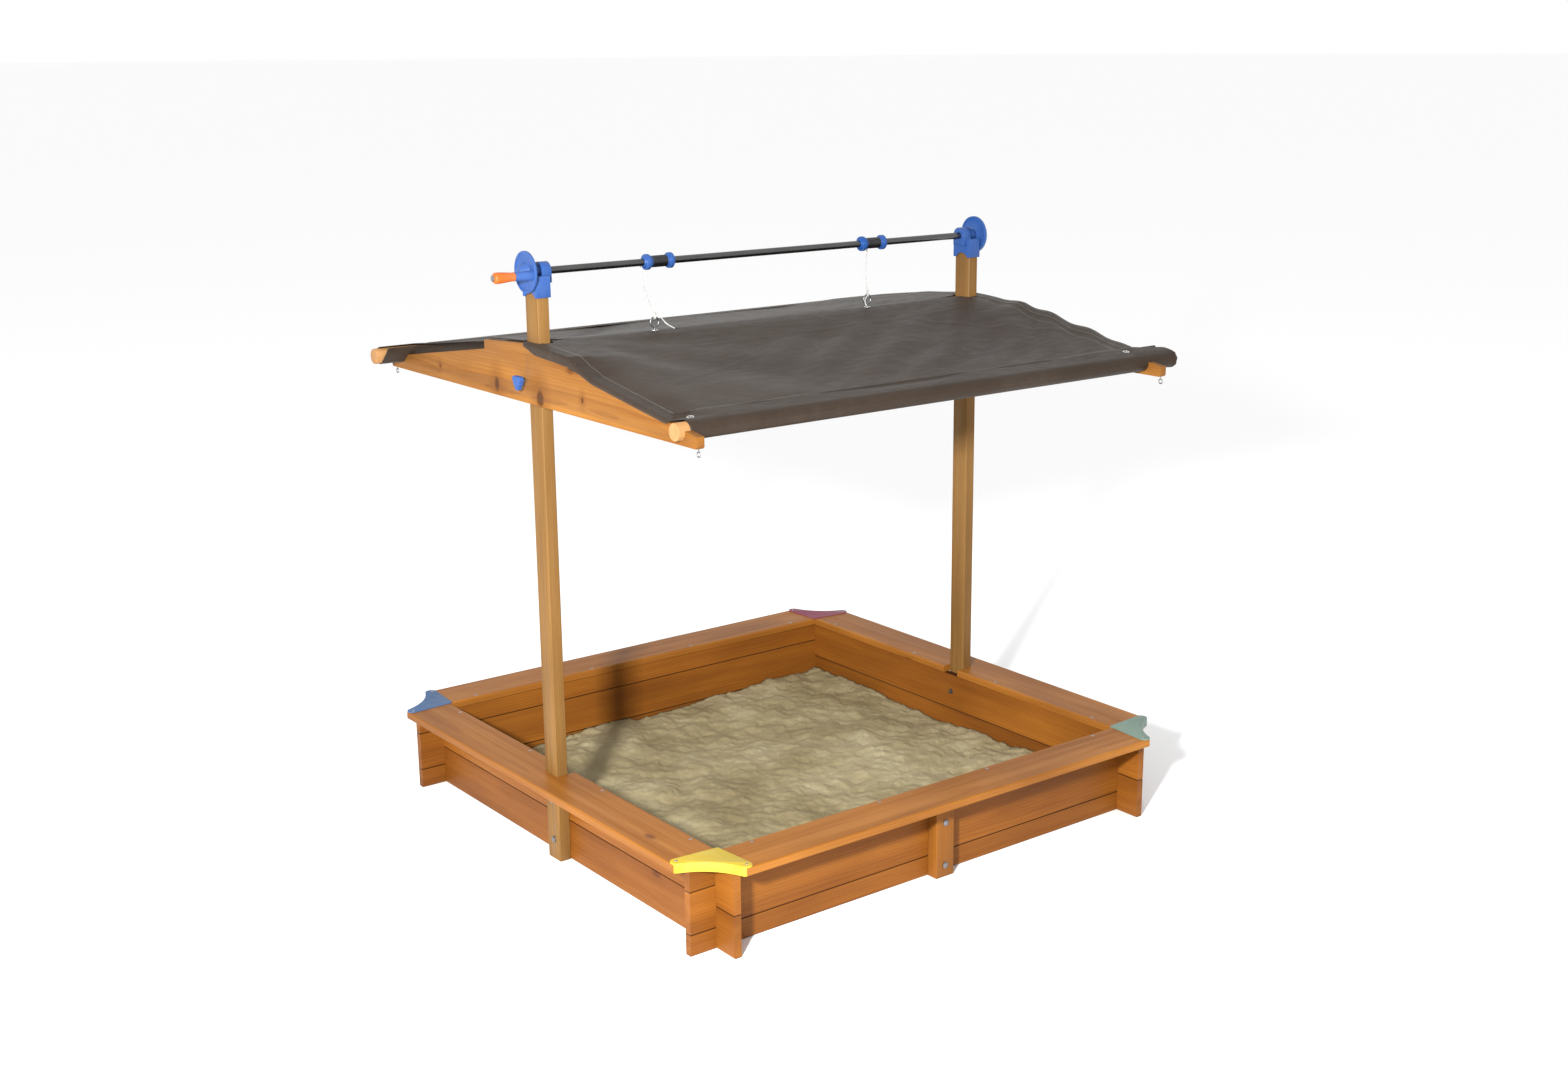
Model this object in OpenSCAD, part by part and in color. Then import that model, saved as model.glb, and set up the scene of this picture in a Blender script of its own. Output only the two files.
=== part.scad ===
// Wooden sandbox with a crank-raised gable roof that lowers onto the box as its cover.
// The walls are half-lapped boards, the seats are mitred boards with capped corners,
// two posts carry a winch, and the winch raises the roof frame along the posts.
// Frame: +Z up, origin on the ground at the middle of the box, front is -Y, crank side is -X.

/* [Box] */
// Distance between the outer faces of two opposite walls
box_w = 1212; // [900:2:1600]
// Height of one full wall board
board_h = 95; // [70:1:140]
// Thickness of the wall boards
board_t = 18; // [14:1:28]
// Length of wall board that runs past each corner
board_run = 64; // [50:1:80]
// Small bevel along the edges of the wall boards
board_bevel = 1.5; // [0.5:0.5:3]
// Depth of the sand at the walls
sand_h = 46; // [20:1:80]
// Extra height of the sand at the middle
sand_crown = 22; // [5:1:40]

/* [Seat] */
// Width of the seat boards
seat_w = 115; // [100:1:150]
// Thickness of the seat boards
seat_t = 18; // [14:1:28]
// Radius of the rounded long edges of the seat boards
seat_r = 5; // [2:0.5:6]
// Thickness of the top plate of the corner caps
cap_t = 3; // [2:0.5:4]

/* [Posts] */
// Post width along the wall
post_w = 52; // [40:1:80]
// Post thickness across the wall
post_t = 28; // [20:1:45]
// Post length from the ground
post_h = 1334; // [1200:1:1700]
// Thickness of the middle blocks on the front and back walls
block_t = 30; // [20:1:40]

/* [Winch] */
// Outer diameter of the winch shaft tube
shaft_d = 16; // [12:0.5:22]
// Outer diameter of the crank wheel and of the end disc
wheel_d = 90; // [70:1:120]
// Outer diameter of the spool flanges
flange_d = 35; // [30:1:44]
// Diameter of the spool barrels
barrel_d = 26; // [24:1:28]
// Distance of the spools from the middle of the shaft
spool_x = 309; // [200:1:400]
// Distance of the handle pin from the shaft axis
crank_r = 27; // [20:1:34]
// Length of the grip
grip_l = 50; // [40:1:80]
// Diameter of the lifting cords
cord_d = 3; // [2:0.5:4]

/* [Roof] */
// Height of post above the underside of the raised gable boards
roof_drop = 268; // [240:1:600]
// Height of the gable boards at the ridge
gable_h = 128; // [115:1:150]
// Height of the gable boards at their ends
gable_end = 24; // [20:1:30]
// Thickness of the gable boards
gable_t = 18; // [14:1:24]
// Play between the gable boards and the posts
post_play = 4; // [3:0.5:8]
// Diameter of the round rods at the front and back
rod_d = 36; // [30:1:40]
// Length of rod that runs past the walls, both ends together
rod_over = 188; // [140:2:260]
// Sideways shift of each rod, to opposite sides
rod_shift = 30; // [0:1:30]
// Extra height of the back rod above the front rod
back_rise = 10; // [0:1:12]
// Thickness of the fabric cover
cloth_t = 2; // [1:0.5:3]

/* [Hidden] */

$fn = 48;
eps = 0.1;
// Box levels and half sizes
wall_h = 2 * board_h;
half_h = board_h / 2;
quarter = board_h / 4;
wall_out = box_w / 2;
wall_in = wall_out - board_t;
seat_in = wall_in - 3;
seat_out = seat_in + seat_w;
seat_top = wall_h + seat_t;
lap_play = 0.3;
seam = 0.2;
notch_play = 0.5;
// Corner caps: lobes at the seat edges and a hollow outer edge between them
lobe_r = 14;
lobe_c = seat_w - lobe_r;
hollow_m = 50;
hollow_s = ((lobe_c - hollow_m) * (lobe_c - hollow_m) + (hollow_m - 1) * (hollow_m - 1) - lobe_r * lobe_r)
    / (2 * (lobe_c + 1 - 2 * hollow_m) + 2 * sqrt(2) * lobe_r);
hollow_r = hollow_s * sqrt(2);
hollow_c = hollow_m + hollow_s;
skirt_t = 4;
// Posts
post_x = wall_out + post_t / 2;
post_in = wall_out;
post_out = wall_out + post_t;
// Winch levels
shaft_z = post_h + 4 + shaft_d / 2;
shaft_play = 0.06;
sleeve_t = 3.5;
sleeve_h = 42;
boss_r = shaft_d / 2 + 12;
boss_in = post_in - 13;
boss_mid = post_in + 10;
boss_out = post_out + 5;
wheel_x = boss_out + 3;
wheel_t = 5;
shaft_end = wheel_x + wheel_t + 4;
spool_l = 82;
flange_t = 9;
collar_t = 12;
crank_y = -crank_r * cos(9);
crank_z = -crank_r * sin(9);
socket_l = 40;
pin_d = 8;
// Roof levels, measured from the underside of the gable boards
roof_z = post_h - roof_drop;
rod_l = box_w + rod_over;
gable_in = post_out + post_play;
gable_out = gable_in + gable_t;
gable_y = seat_out - 55;
rod_y = gable_y - 57;
rod_z = rod_d / 2 + 9;
shoulder_y = gable_y * 0.276;
shoulder_h = gable_h - 11;
arm_h = gable_h - 31;
knob_z = 48;
beam_t = 28;
beam_top = gable_h - 7;
cheek_t = 18;
cheek_in = post_w / 2 + 2;
cloth_gap = 0.3;
cloth_x = gable_out - 4;
rod_top = rod_z + rod_d / 2 + cloth_gap;
back_top = rod_top + back_rise;
slope_a = atan((shoulder_h + cloth_gap - rod_top) / (rod_y - 3 - shoulder_y));
slope_b = atan((shoulder_h + cloth_gap - back_top) / (rod_y - 3 - shoulder_y));
eye_x = 322;
eye_xr = 296;
eye_d = 4;
eye_r = 11;
eye_z = roof_z + gable_h + cloth_t + eye_r + eye_d;
cord_y = barrel_d / 2 + cord_d / 2 + 0.3;

// ---------- helpers ----------

// Board profile with bevelled edges, running along X, sitting on z = 0
module board_x(l, t, h, b) {
    rotate([90, 0, 90])
        translate([0, 0, -l / 2])
            linear_extrude(l)
                polygon([
                    [-t / 2 + b, 0], [t / 2 - b, 0], [t / 2, b], [t / 2, h - b],
                    [t / 2 - b, h], [-t / 2 + b, h], [-t / 2, h - b], [-t / 2, b]
                ]);
}

// Wall board along X from z0 to z1, with laps cut at both crossings
module wall_board(z0, z1, cut_low, cut_high) {
    difference() {
        translate([0, 0, z0 + seam / 2])
            board_x(box_w + 2 * board_run, board_t, z1 - z0 - seam, board_bevel);
        for (s = [-1, 1])
            translate([s * (wall_out - board_t / 2), 0, 0]) {
                lap_cutter(z0, z0 + cut_low);
                lap_cutter(z1 - cut_high, z1);
            }
    }
}

// Space left free for the crossing board
module lap_cutter(z0, z1) {
    if (z1 > z0)
        translate([-board_t / 2 - lap_play, -board_t, z0 - seam])
            cube([board_t + 2 * lap_play, 2 * board_t, z1 - z0 + 2 * seam]);
}

// Round-headed bolt along X, underside of the head at x = 0, head towards -X
module round_bolt(l, d, head, head_t) {
    rotate([0, -90, 0]) {
        cylinder(h = head_t / 2, d = head, $fn = 40);
        translate([0, 0, head_t / 2])
            cylinder(h = head_t / 2, d1 = head, d2 = head * 0.6, $fn = 40);
        translate([0, 0, -l])
            cylinder(h = l + eps, d = d, $fn = 24);
    }
}

// Countersunk screw along -Z, head top at z = 0
module screw(l, d, head) {
    translate([0, 0, -0.8])
        cylinder(h = 1, d = head, $fn = 24);
    translate([0, 0, -l])
        cylinder(h = l - 0.6, d = d, $fn = 16);
}

// Ring of round wire in the XZ plane
module wire_ring(r, d) {
    rotate([90, 0, 0])
        rotate_extrude($fn = 40)
            translate([r, 0])
                circle(d = d, $fn = 16);
}

// Tube through the points p, with n sides; the rings stay level, for a nearly upright cord
module cord_tube(p, d, n) {
    k = len(p);
    v = [for (i = [0 : k - 1]) for (j = [0 : n - 1])
        [p[i][0] + d / 2 * cos(360 * j / n), p[i][1] + d / 2 * sin(360 * j / n), p[i][2]]];
    sides = [for (i = [0 : k - 2]) for (j = [0 : n - 1]) let (m = (j + 1) % n)
        [i * n + j, i * n + m, (i + 1) * n + m, (i + 1) * n + j]];
    low = [for (j = [0 : n - 1]) n - 1 - j];
    high = [for (j = [0 : n - 1]) (k - 1) * n + j];
    polyhedron(points = v, faces = concat(sides, [low, high]), convexity = 4);
}

// ---------- box ----------

module wall_front_lower() color("#c0813f") translate([0, -wall_out + board_t / 2, 0])
    wall_board(0, half_h, 0, quarter);
module wall_front_middle() color("#bb7a38") translate([0, -wall_out + board_t / 2, 0])
    wall_board(half_h, half_h + board_h, quarter, quarter);
module wall_front_upper() color("#c0813f") translate([0, -wall_out + board_t / 2, 0])
    wall_board(half_h + board_h, wall_h, quarter, 0);
module wall_back_lower() color("#c0813f") translate([0, wall_out - board_t / 2, 0])
    wall_board(0, half_h, 0, quarter);
module wall_back_middle() color("#bb7a38") translate([0, wall_out - board_t / 2, 0])
    wall_board(half_h, half_h + board_h, quarter, quarter);
module wall_back_upper() color("#c0813f") translate([0, wall_out - board_t / 2, 0])
    wall_board(half_h + board_h, wall_h, quarter, 0);
module wall_left_lower() color("#b87636") translate([-wall_out + board_t / 2, 0, 0])
    rotate([0, 0, 90]) wall_board(0, board_h, quarter, quarter);
module wall_left_upper() color("#bd7d3c") translate([-wall_out + board_t / 2, 0, 0])
    rotate([0, 0, 90]) wall_board(board_h, wall_h, quarter, quarter);
module wall_right_lower() color("#b87636") translate([wall_out - board_t / 2, 0, 0])
    rotate([0, 0, 90]) wall_board(0, board_h, quarter, quarter);
module wall_right_upper() color("#bd7d3c") translate([wall_out - board_t / 2, 0, 0])
    rotate([0, 0, 90]) wall_board(board_h, wall_h, quarter, quarter);

// Seat board along X on the -Y side: rounded long edges, mitred ends, corners cut to the caps
module seat_board() {
    m = seat_in + hollow_m;
    difference() {
        intersection() {
            rotate([90, 0, 90])
                translate([0, 0, -seat_out])
                    linear_extrude(2 * seat_out)
                        seat_profile();
            translate([0, 0, wall_h - 1])
                linear_extrude(seat_t + 2)
                    polygon([[-seat_in, -seat_in], [seat_in, -seat_in], [seat_out, -seat_out], [-seat_out, -seat_out]]);
        }
        for (s = [-1, 1])
            translate([s * (seat_in + hollow_c), -seat_in - hollow_c, wall_h - 1])
                cylinder(h = seat_t + 2, r = hollow_r + skirt_t + 0.2, $fn = 180);
    }
}

// Cross-section of a seat board, in (y, z)
module seat_profile() {
    y0 = -seat_out;
    y1 = -seat_in;
    z0 = wall_h;
    z1 = seat_top;
    translate([y0, z0 + 1.5])
        square([seat_w, seat_t - 1.5 - seat_r]);
    translate([y0 + 1.5, z0])
        square([seat_w - 3, seat_t - seat_r]);
    translate([y0 + seat_r, z0])
        square([seat_w - 2 * seat_r, seat_t]);
    for (y = [y0 + seat_r, y1 - seat_r])
        translate([y, z1 - seat_r])
            circle(r = seat_r, $fn = 32);
}

// Notch round a post, open towards the sand
module post_notch() {
    translate([-post_out - notch_play, -post_w / 2 - notch_play, wall_h - 1])
        cube([post_out + notch_play - seat_in + 10, post_w + 2 * notch_play, seat_t + 2]);
}

module seat_front() color("#c68a48") seat_board();
module seat_back() color("#c68a48") rotate([0, 0, 180]) seat_board();
module seat_left() color("#c68a48") difference() {
    rotate([0, 0, -90]) seat_board();
    post_notch();
}
module seat_right() color("#c68a48") difference() {
    rotate([0, 0, 90]) seat_board();
    rotate([0, 0, 180]) post_notch();
}

// Plan of a corner cap, origin at the inner mitre corner, arms along +X and +Y
module cap_plan() {
    difference() {
        union() {
            polygon([
                [-4, -4], [lobe_c, 1 - lobe_r], [lobe_c, 1], [lobe_c + 7, 13],
                [13, lobe_c + 7], [1, lobe_c], [1 - lobe_r, lobe_c]
            ]);
            translate([lobe_c, 1])
                circle(r = lobe_r, $fn = 48);
            translate([1, lobe_c])
                circle(r = lobe_r, $fn = 48);
        }
        translate([hollow_c, hollow_c])
            circle(r = hollow_r, $fn = 180);
    }
}

// Corner cap for the (+X, +Y) corner: top plate and a skirt over the cut seat ends
module cap_body() {
    translate([seat_in, seat_in, 0]) {
        difference() {
            translate([0, 0, seat_top])
                linear_extrude(cap_t)
                    cap_plan();
            for (q = [[lobe_c, 1], [1, lobe_c]])
                translate([q[0], q[1], seat_top - 1])
                    cylinder(h = cap_t + 2, d = 3.6, $fn = 16);
        }
        translate([0, 0, wall_h + 0.2])
            linear_extrude(seat_t + 0.3)
                intersection() {
                    cap_plan();
                    translate([hollow_c, hollow_c])
                        circle(r = hollow_r + skirt_t - 0.1, $fn = 180);
                }
    }
}

module cap_near() color("#f2cf2b") rotate([0, 0, 180]) cap_body();
module cap_left() color("#3c6fc4") rotate([0, 0, 90]) cap_body();
module cap_back() color("#9c4a78") cap_body();
module cap_right() color("#6fa79c") rotate([0, 0, -90]) cap_body();

// Post with a bevelled outline, two bolt holes below the seat
module post(s) {
    difference() {
        translate([s * post_x, 0, 0])
            linear_extrude(post_h)
                polygon([
                    [-post_t / 2 + 1.5, -post_w / 2], [post_t / 2 - 1.5, -post_w / 2],
                    [post_t / 2, -post_w / 2 + 1.5], [post_t / 2, post_w / 2 - 1.5],
                    [post_t / 2 - 1.5, post_w / 2], [-post_t / 2 + 1.5, post_w / 2],
                    [-post_t / 2, post_w / 2 - 1.5], [-post_t / 2, -post_w / 2 + 1.5]
                ]);
        for (z = [board_h / 2, board_h * 1.5])
            translate([s * post_x - post_t, 0, z])
                rotate([0, 90, 0])
                    cylinder(h = 2 * post_t, d = 6.4, $fn = 24);
    }
}
module post_left() color("#cf9a55") post(-1);
module post_right() color("#cf9a55") post(1);

// Block that braces the middle of the front or back wall
module mid_block() {
    translate([-post_w / 2, -wall_out - block_t, 0])
        cube([post_w, block_t, wall_h - 0.2]);
}
module block_front() color("#c68a48") mid_block();
module block_back() color("#c68a48") rotate([0, 0, 180]) mid_block();

// Bolts through the posts and walls, nuts with washers on the inside
module post_bolts() color("#b9bcc0")
    for (a = [0, 180], z = [board_h / 2, board_h * 1.5])
        rotate([0, 0, a]) {
            translate([-post_out, 0, z])
                round_bolt(post_t + board_t + 6, 6, 15, 4);
            translate([-wall_in, 0, z])
                rotate([0, 90, 0]) {
                    cylinder(h = 1.2, d = 14, $fn = 32);
                    translate([0, 0, 1.2])
                        cylinder(h = 4, d = 11, $fn = 6);
                }
        }

// Bolts through the middle blocks
module block_bolts() color("#b9bcc0")
    for (a = [0, 180], z = [28, wall_h - 60])
        rotate([0, 0, a + 90]) {
            translate([-wall_out - block_t, 0, z])
                round_bolt(block_t + board_t - 3, 6, 15, 4);
        }

// Screws that fix the seat boards to the top edges of the walls
module seat_screws() color("#c9ccd0")
    for (a = [0 : 90 : 270], y = [-505, -160, 160, 505])
        rotate([0, 0, a])
            translate([-wall_in - board_t / 2, y * box_w / 1212, seat_top + 0.4])
                screw(seat_t + 22, 4, 8);

// Small screws in the lobes of the corner caps
module cap_screws() color("#c9ccd0")
    for (a = [0 : 90 : 270])
        rotate([0, 0, a])
            for (q = [[lobe_c, 1], [1, lobe_c]])
                translate([seat_in + q[0], seat_in + q[1], seat_top + cap_t + 0.4])
                    screw(14, 3, 6);

// Sand fill: level at the walls, with a low round mound in the middle
module sand() color("#b3a77e") {
    w = 2 * wall_in - 1.5;
    n = 8;
    difference() {
        union() {
            translate([-w / 2, -w / 2, 0])
                cube([w, w, sand_h]);
            translate([0, 0, sand_h - 1])
                rotate_extrude($fn = 120)
                    polygon(concat(
                        [[0, 0]],
                        [for (i = [0 : n]) [w / 2 * (1 - i / n), 1 + sand_crown / 2 * (1 - cos(180 * i / n))]]
                    ));
        }
        for (a = [0, 180])
            rotate([0, 0, a])
                translate([-w / 2 - 1, 0, board_h / 2])
                    rotate([0, 90, 0])
                        cylinder(h = 16, d = 22, $fn = 32);
        for (a = [90, 270])
            rotate([0, 0, a])
                translate([-w / 2 - 1, 0, 28])
                    rotate([0, 90, 0])
                        cylinder(h = 6, d = 10, $fn = 24);
    }
}

// ---------- winch ----------

// Bearing bracket on the -X post: sleeve round the post top with a boss for the shaft
module bracket() {
    difference() {
        union() {
            translate([-post_out - sleeve_t, -post_w / 2 - sleeve_t, post_h - sleeve_h])
                cube([post_t + 2 * sleeve_t, post_w + 2 * sleeve_t, sleeve_h + 4]);
            translate([-boss_mid, 0, shaft_z])
                rotate([0, 90, 0])
                    cylinder(h = boss_mid - boss_in, r = boss_r, $fn = 64);
            translate([-boss_mid, -boss_r, post_h - 12])
                cube([boss_mid - boss_in, 2 * boss_r, shaft_z - post_h + 12]);
            translate([-boss_out, 0, shaft_z])
                rotate([0, 90, 0])
                    cylinder(h = boss_out - boss_in, r = boss_r - 7, $fn = 64);
        }
        translate([-post_out, -post_w / 2, post_h - sleeve_h - 1])
            cube([post_t, post_w, sleeve_h + 1]);
        translate([-boss_out - 1, 0, shaft_z])
            rotate([0, 90, 0])
                cylinder(h = boss_out - boss_in + 2, d = shaft_d + 2 * shaft_play, $fn = 64);
        translate([-post_x, 0, post_h - sleeve_h - 14])
            rotate([0, 90, 0])
                cylinder(h = post_t + 4 * sleeve_t, r = 25, center = true, $fn = 64);
        translate([-post_out - sleeve_t - 1, 0, post_h - 14])
            rotate([0, 90, 0])
                cylinder(h = sleeve_t + 2, d = 4.4, $fn = 20);
    }
}
module bracket_left() color("#2f63c9") bracket();
module bracket_right() color("#2f63c9") rotate([0, 0, 180]) bracket();

// Screws through the bracket sleeves into the posts
module bracket_screws() color("#c9ccd0")
    for (a = [0, 180])
        rotate([0, 0, a])
            translate([-post_out - sleeve_t - 0.4, 0, post_h - 14])
                rotate([0, -90, 0])
                    screw(20, 4, 8);

module shaft() color("#8d9095")
    translate([-shaft_end, 0, shaft_z])
        rotate([0, 90, 0])
            difference() {
                cylinder(h = 2 * shaft_end, d = shaft_d, $fn = 64);
                translate([0, 0, -1])
                    cylinder(h = 2 * shaft_end + 2, d = shaft_d - 3, $fn = 64);
            }

// One pair of blue flanges with collars, along +X from x = 0
module flange_pair() {
    rotate([0, 90, 0])
        difference() {
            union() {
                for (z = [6, spool_l - 6 - flange_t])
                    translate([0, 0, z])
                        cylinder(h = flange_t, d = flange_d, $fn = 64);
                translate([0, 0, 0])
                    cylinder(h = 6.1, d1 = shaft_d + 5, d2 = barrel_d + 1, $fn = 64);
                translate([0, 0, 6])
                    cylinder(h = flange_t + collar_t - 6, d = barrel_d + 1.6, $fn = 64);
                translate([0, 0, spool_l - flange_t - collar_t])
                    cylinder(h = flange_t + collar_t - 6, d = barrel_d + 1.6, $fn = 64);
                translate([0, 0, spool_l - 6.1])
                    cylinder(h = 6.1, d1 = barrel_d + 1, d2 = shaft_d + 5, $fn = 64);
            }
            translate([0, 0, -1])
                cylinder(h = spool_l + 2, d = shaft_d, $fn = 64);
            translate([0, 0, flange_t + collar_t])
                cylinder(h = spool_l - 2 * flange_t - 2 * collar_t, d = barrel_d + 4, $fn = 64);
        }
}
module spool_flanges() color("#2f63c9")
    for (x = [-spool_x - spool_l / 2, spool_x - spool_l / 2])
        translate([x, 0, shaft_z])
            flange_pair();

// Dark barrels between the flanges
module spool_barrels() color("#3a3b3f")
    for (x = [-spool_x - spool_l / 2, spool_x - spool_l / 2])
        translate([x + flange_t + collar_t, 0, shaft_z])
            rotate([0, 90, 0])
                difference() {
                    cylinder(h = spool_l - 2 * flange_t - 2 * collar_t, d = barrel_d, $fn = 64);
                    translate([0, 0, -1])
                        cylinder(h = spool_l, d = shaft_d, $fn = 64);
                }

// Round wheel with a thick rim, open at the shaft, facing -X
module disc_body() {
    rotate([0, 90, 0])
        difference() {
            union() {
                difference() {
                    cylinder(h = wheel_t, d = wheel_d, $fn = 96);
                    for (z = [-1, wheel_t - 1.6])
                        translate([0, 0, z])
                            cylinder(h = 2.6, d = wheel_d - 10, $fn = 96);
                }
                translate([0, 0, 0.1])
                    cylinder(h = wheel_t - 0.2, d = 34, $fn = 64);
            }
            translate([0, 0, -1])
                cylinder(h = wheel_t + 2, d = shaft_d, $fn = 64);
        }
}

// Crank wheel: disc, hub cone and a socket for the handle pin
module crank_wheel() color("#2f63c9")
    translate([-wheel_x - wheel_t, 0, shaft_z]) {
        difference() {
            union() {
                disc_body();
                translate([-16, 0, 0])
                    rotate([0, 90, 0])
                        cylinder(h = 18.5, d1 = 24, d2 = 42, $fn = 64);
                translate([-socket_l, crank_y, crank_z])
                    rotate([0, 90, 0])
                        cylinder(h = socket_l + 2.3, d1 = 19, d2 = 22, $fn = 64);
                translate([-14, crank_y, crank_z - 7])
                    cube([16.1, -crank_y, 14]);
            }
            translate([-4.2, 0, 0])
                rotate([0, 90, 0])
                    cylinder(h = 12, d = shaft_d, $fn = 64);
            translate([-socket_l - 1, crank_y, crank_z])
                rotate([0, 90, 0])
                    cylinder(h = socket_l - 3, d = pin_d, $fn = 32);
        }
    }

module end_disc() color("#2f63c9")
    translate([wheel_x + wheel_t, 0, shaft_z])
        rotate([0, 0, 180]) {
            disc_body();
            translate([-6, 0, 0])
                rotate([0, 90, 0])
                    difference() {
                        cylinder(h = 6.2, d1 = 26, d2 = 34, $fn = 64);
                        translate([0, 0, 2])
                            cylinder(h = 6, d = shaft_d, $fn = 64);
                    }
        }

// Steel pin that carries the grip, with a retaining head
module handle_pin() color("#8d9095")
    translate([-wheel_x - wheel_t - socket_l - grip_l - 3, crank_y, shaft_z + crank_z])
        rotate([0, 90, 0]) {
            cylinder(h = 2, d = 13, $fn = 32);
            translate([0, 0, 1])
                cylinder(h = socket_l + grip_l - 2, d = pin_d, $fn = 32);
        }

// Free-turning grip, wider at its outer end
module grip() color("#e0702a")
    translate([-wheel_x - wheel_t - socket_l - grip_l - 0.5, crank_y, shaft_z + crank_z])
        rotate([0, 90, 0])
            difference() {
                union() {
                    translate([0, 0, 4])
                        cylinder(h = grip_l - 4, d1 = 24, d2 = 18, $fn = 64);
                    cylinder(h = 4.05, d1 = 17, d2 = 24, $fn = 64);
                }
                translate([0, 0, -1])
                    cylinder(h = grip_l + 2, d = pin_d + 2 * shaft_play, $fn = 32);
            }

// ---------- roof ----------

// Gable board: level underside, tapering arms, raised middle, round notches for the rods
module gable() {
    translate([gable_in, 0, roof_z])
        difference() {
            rotate([90, 0, 90])
                linear_extrude(gable_t)
                    difference() {
                        polygon([
                            [-gable_y + 4, 0], [gable_y - 4, 0], [gable_y, 4], [gable_y, gable_end],
                            [shoulder_y, arm_h], [shoulder_y, shoulder_h], [0, gable_h],
                            [-shoulder_y, shoulder_h], [-shoulder_y, arm_h], [-gable_y, gable_end], [-gable_y, 4]
                        ]);
                        for (q = [[-rod_y, rod_z], [rod_y, rod_z + back_rise]]) {
                            translate(q)
                                circle(d = rod_d + 0.4, $fn = 64);
                            translate([q[0] - rod_d / 2 - 0.2, q[1]])
                                square([rod_d + 0.4, rod_d]);
                        }
                    }
            translate([-1, 0, knob_z])
                rotate([0, 90, 0])
                    cylinder(h = gable_t + 2, d = 8.12, $fn = 32);
        }
}
module gable_left() color("#bd7a38") mirror([1, 0, 0]) gable();
module gable_right() color("#bd7a38") gable();

// Round rods in the gable notches
module roof_rod(s) {
    translate([-s * rod_shift - rod_l / 2, s * rod_y, roof_z + rod_z + (s > 0 ? back_rise : 0)])
        rotate([0, 90, 0])
            cylinder(h = rod_l, d = rod_d, $fn = 64);
}
module rod_front() color("#cf9a55") roof_rod(-1);
module rod_back() color("#cf9a55") roof_rod(1);

// Flat beam under the ridge, between the posts
module ridge_beam() color("#c68a48")
    translate([-post_in + post_play, -cheek_in, roof_z + beam_top - beam_t])
        cube([2 * (post_in - post_play), 2 * cheek_in, beam_t]);

// Cheeks on both sides of each post: they join the beam to the gables and guide the roof
module guide_blocks() color("#c68a48")
    for (a = [0, 180], s = [-1, 1])
        rotate([0, 0, a])
            translate([post_in - 46, s > 0 ? cheek_in : -cheek_in - cheek_t, roof_z + beam_top - beam_t - 33])
                cube([gable_in - post_in + 46, cheek_t, beam_t + 29]);

// Fabric: over both shoulders and the ridge, sewn round the rods, slotted for the posts
module roof_cloth() color("#5b5048") {
    y2 = rod_y - 3;
    g = cloth_gap;
    t = cloth_t;
    translate([0, 0, roof_z]) {
        difference() {
            translate([-cloth_x, 0, 0])
                rotate([90, 0, 90])
                    linear_extrude(2 * cloth_x)
                        polygon([
                            [-y2, rod_top], [-shoulder_y, shoulder_h + g], [0, gable_h + g], [shoulder_y, shoulder_h + g],
                            [y2, back_top], [y2, back_top + t], [shoulder_y, shoulder_h + g + t], [0, gable_h + g + t],
                            [-shoulder_y, shoulder_h + g + t], [-y2, rod_top + t]
                        ]);
            for (s = [-1, 1])
                translate([s > 0 ? post_in - 4 : -gable_in, -post_w / 2 - 4, gable_h - 10])
                    cube([gable_in - post_in + 4, post_w + 8, 30]);
            for (x = [-eye_x, eye_xr])
                translate([x, 0, gable_h - 10])
                    cylinder(h = 30, d = 9, $fn = 24);
            for (sx = [-1, 1], sy = [-1, 1])
                translate([sx * (gable_in - 26), sy * (rod_y - 28), rod_top - 10])
                    cylinder(h = 40, d = 8, $fn = 24);
        }
        rod_sleeve(1);
        translate([0, 0, back_rise])
            rotate([0, 0, 180])
                rod_sleeve(40);
    }
}

// Hem tunnel round the front rod up to bare mm from its end, cut away at the gable board
module rod_sleeve(bare) {
    x0 = -gable_in + 0.5;
    x1 = rod_shift + rod_l / 2 - bare;
    difference() {
        translate([x0, -rod_y, rod_z])
            rotate([0, 90, 0])
                difference() {
                    cylinder(h = x1 - x0, d = rod_d + 2 * cloth_gap + 2 * cloth_t, $fn = 64);
                    translate([0, 0, -1])
                        cylinder(h = x1 - x0 + 2, d = rod_d + 2 * cloth_gap, $fn = 64);
                }
        translate([gable_in - 0.5, -rod_y - rod_d, -rod_d])
            cube([gable_t + 1, 2 * rod_d, rod_d + rod_z + 11]);
    }
}

// Metal eyelets at the corners of the fabric and round the ridge eyes
module grommets() color("#c4c6c8") {
    for (sx = [-1, 1], sy = [-1, 1]) {
        a = sy > 0 ? slope_b : slope_a;
        top = sy > 0 ? back_top : rod_top;
        translate([sx * (gable_in - 26), sy * (rod_y - 28), roof_z + top + cloth_t + 25 * tan(a) + 0.3])
            rotate([-sy * a, 0, 0])
                eyelet();
    }
    for (x = [-eye_x, eye_xr])
        translate([x, 0, roof_z + gable_h + cloth_gap + cloth_t + 0.1])
            eyelet();
}
module eyelet() {
    rotate_extrude($fn = 40)
        translate([4.6, 0])
            square([3.8, 1]);
}

// Ring eyes screwed into the ridge beam, for the lifting cords
module ridge_eyes() color("#a9acb0")
    for (x = [-eye_x, eye_xr]) {
        translate([x, 0, eye_z])
            wire_ring(eye_r, eye_d);
        translate([x, 0, roof_z + beam_top - 20])
            cylinder(h = eye_z - eye_r - roof_z - beam_top + 20.5, d = eye_d, $fn = 24);
    }

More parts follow.
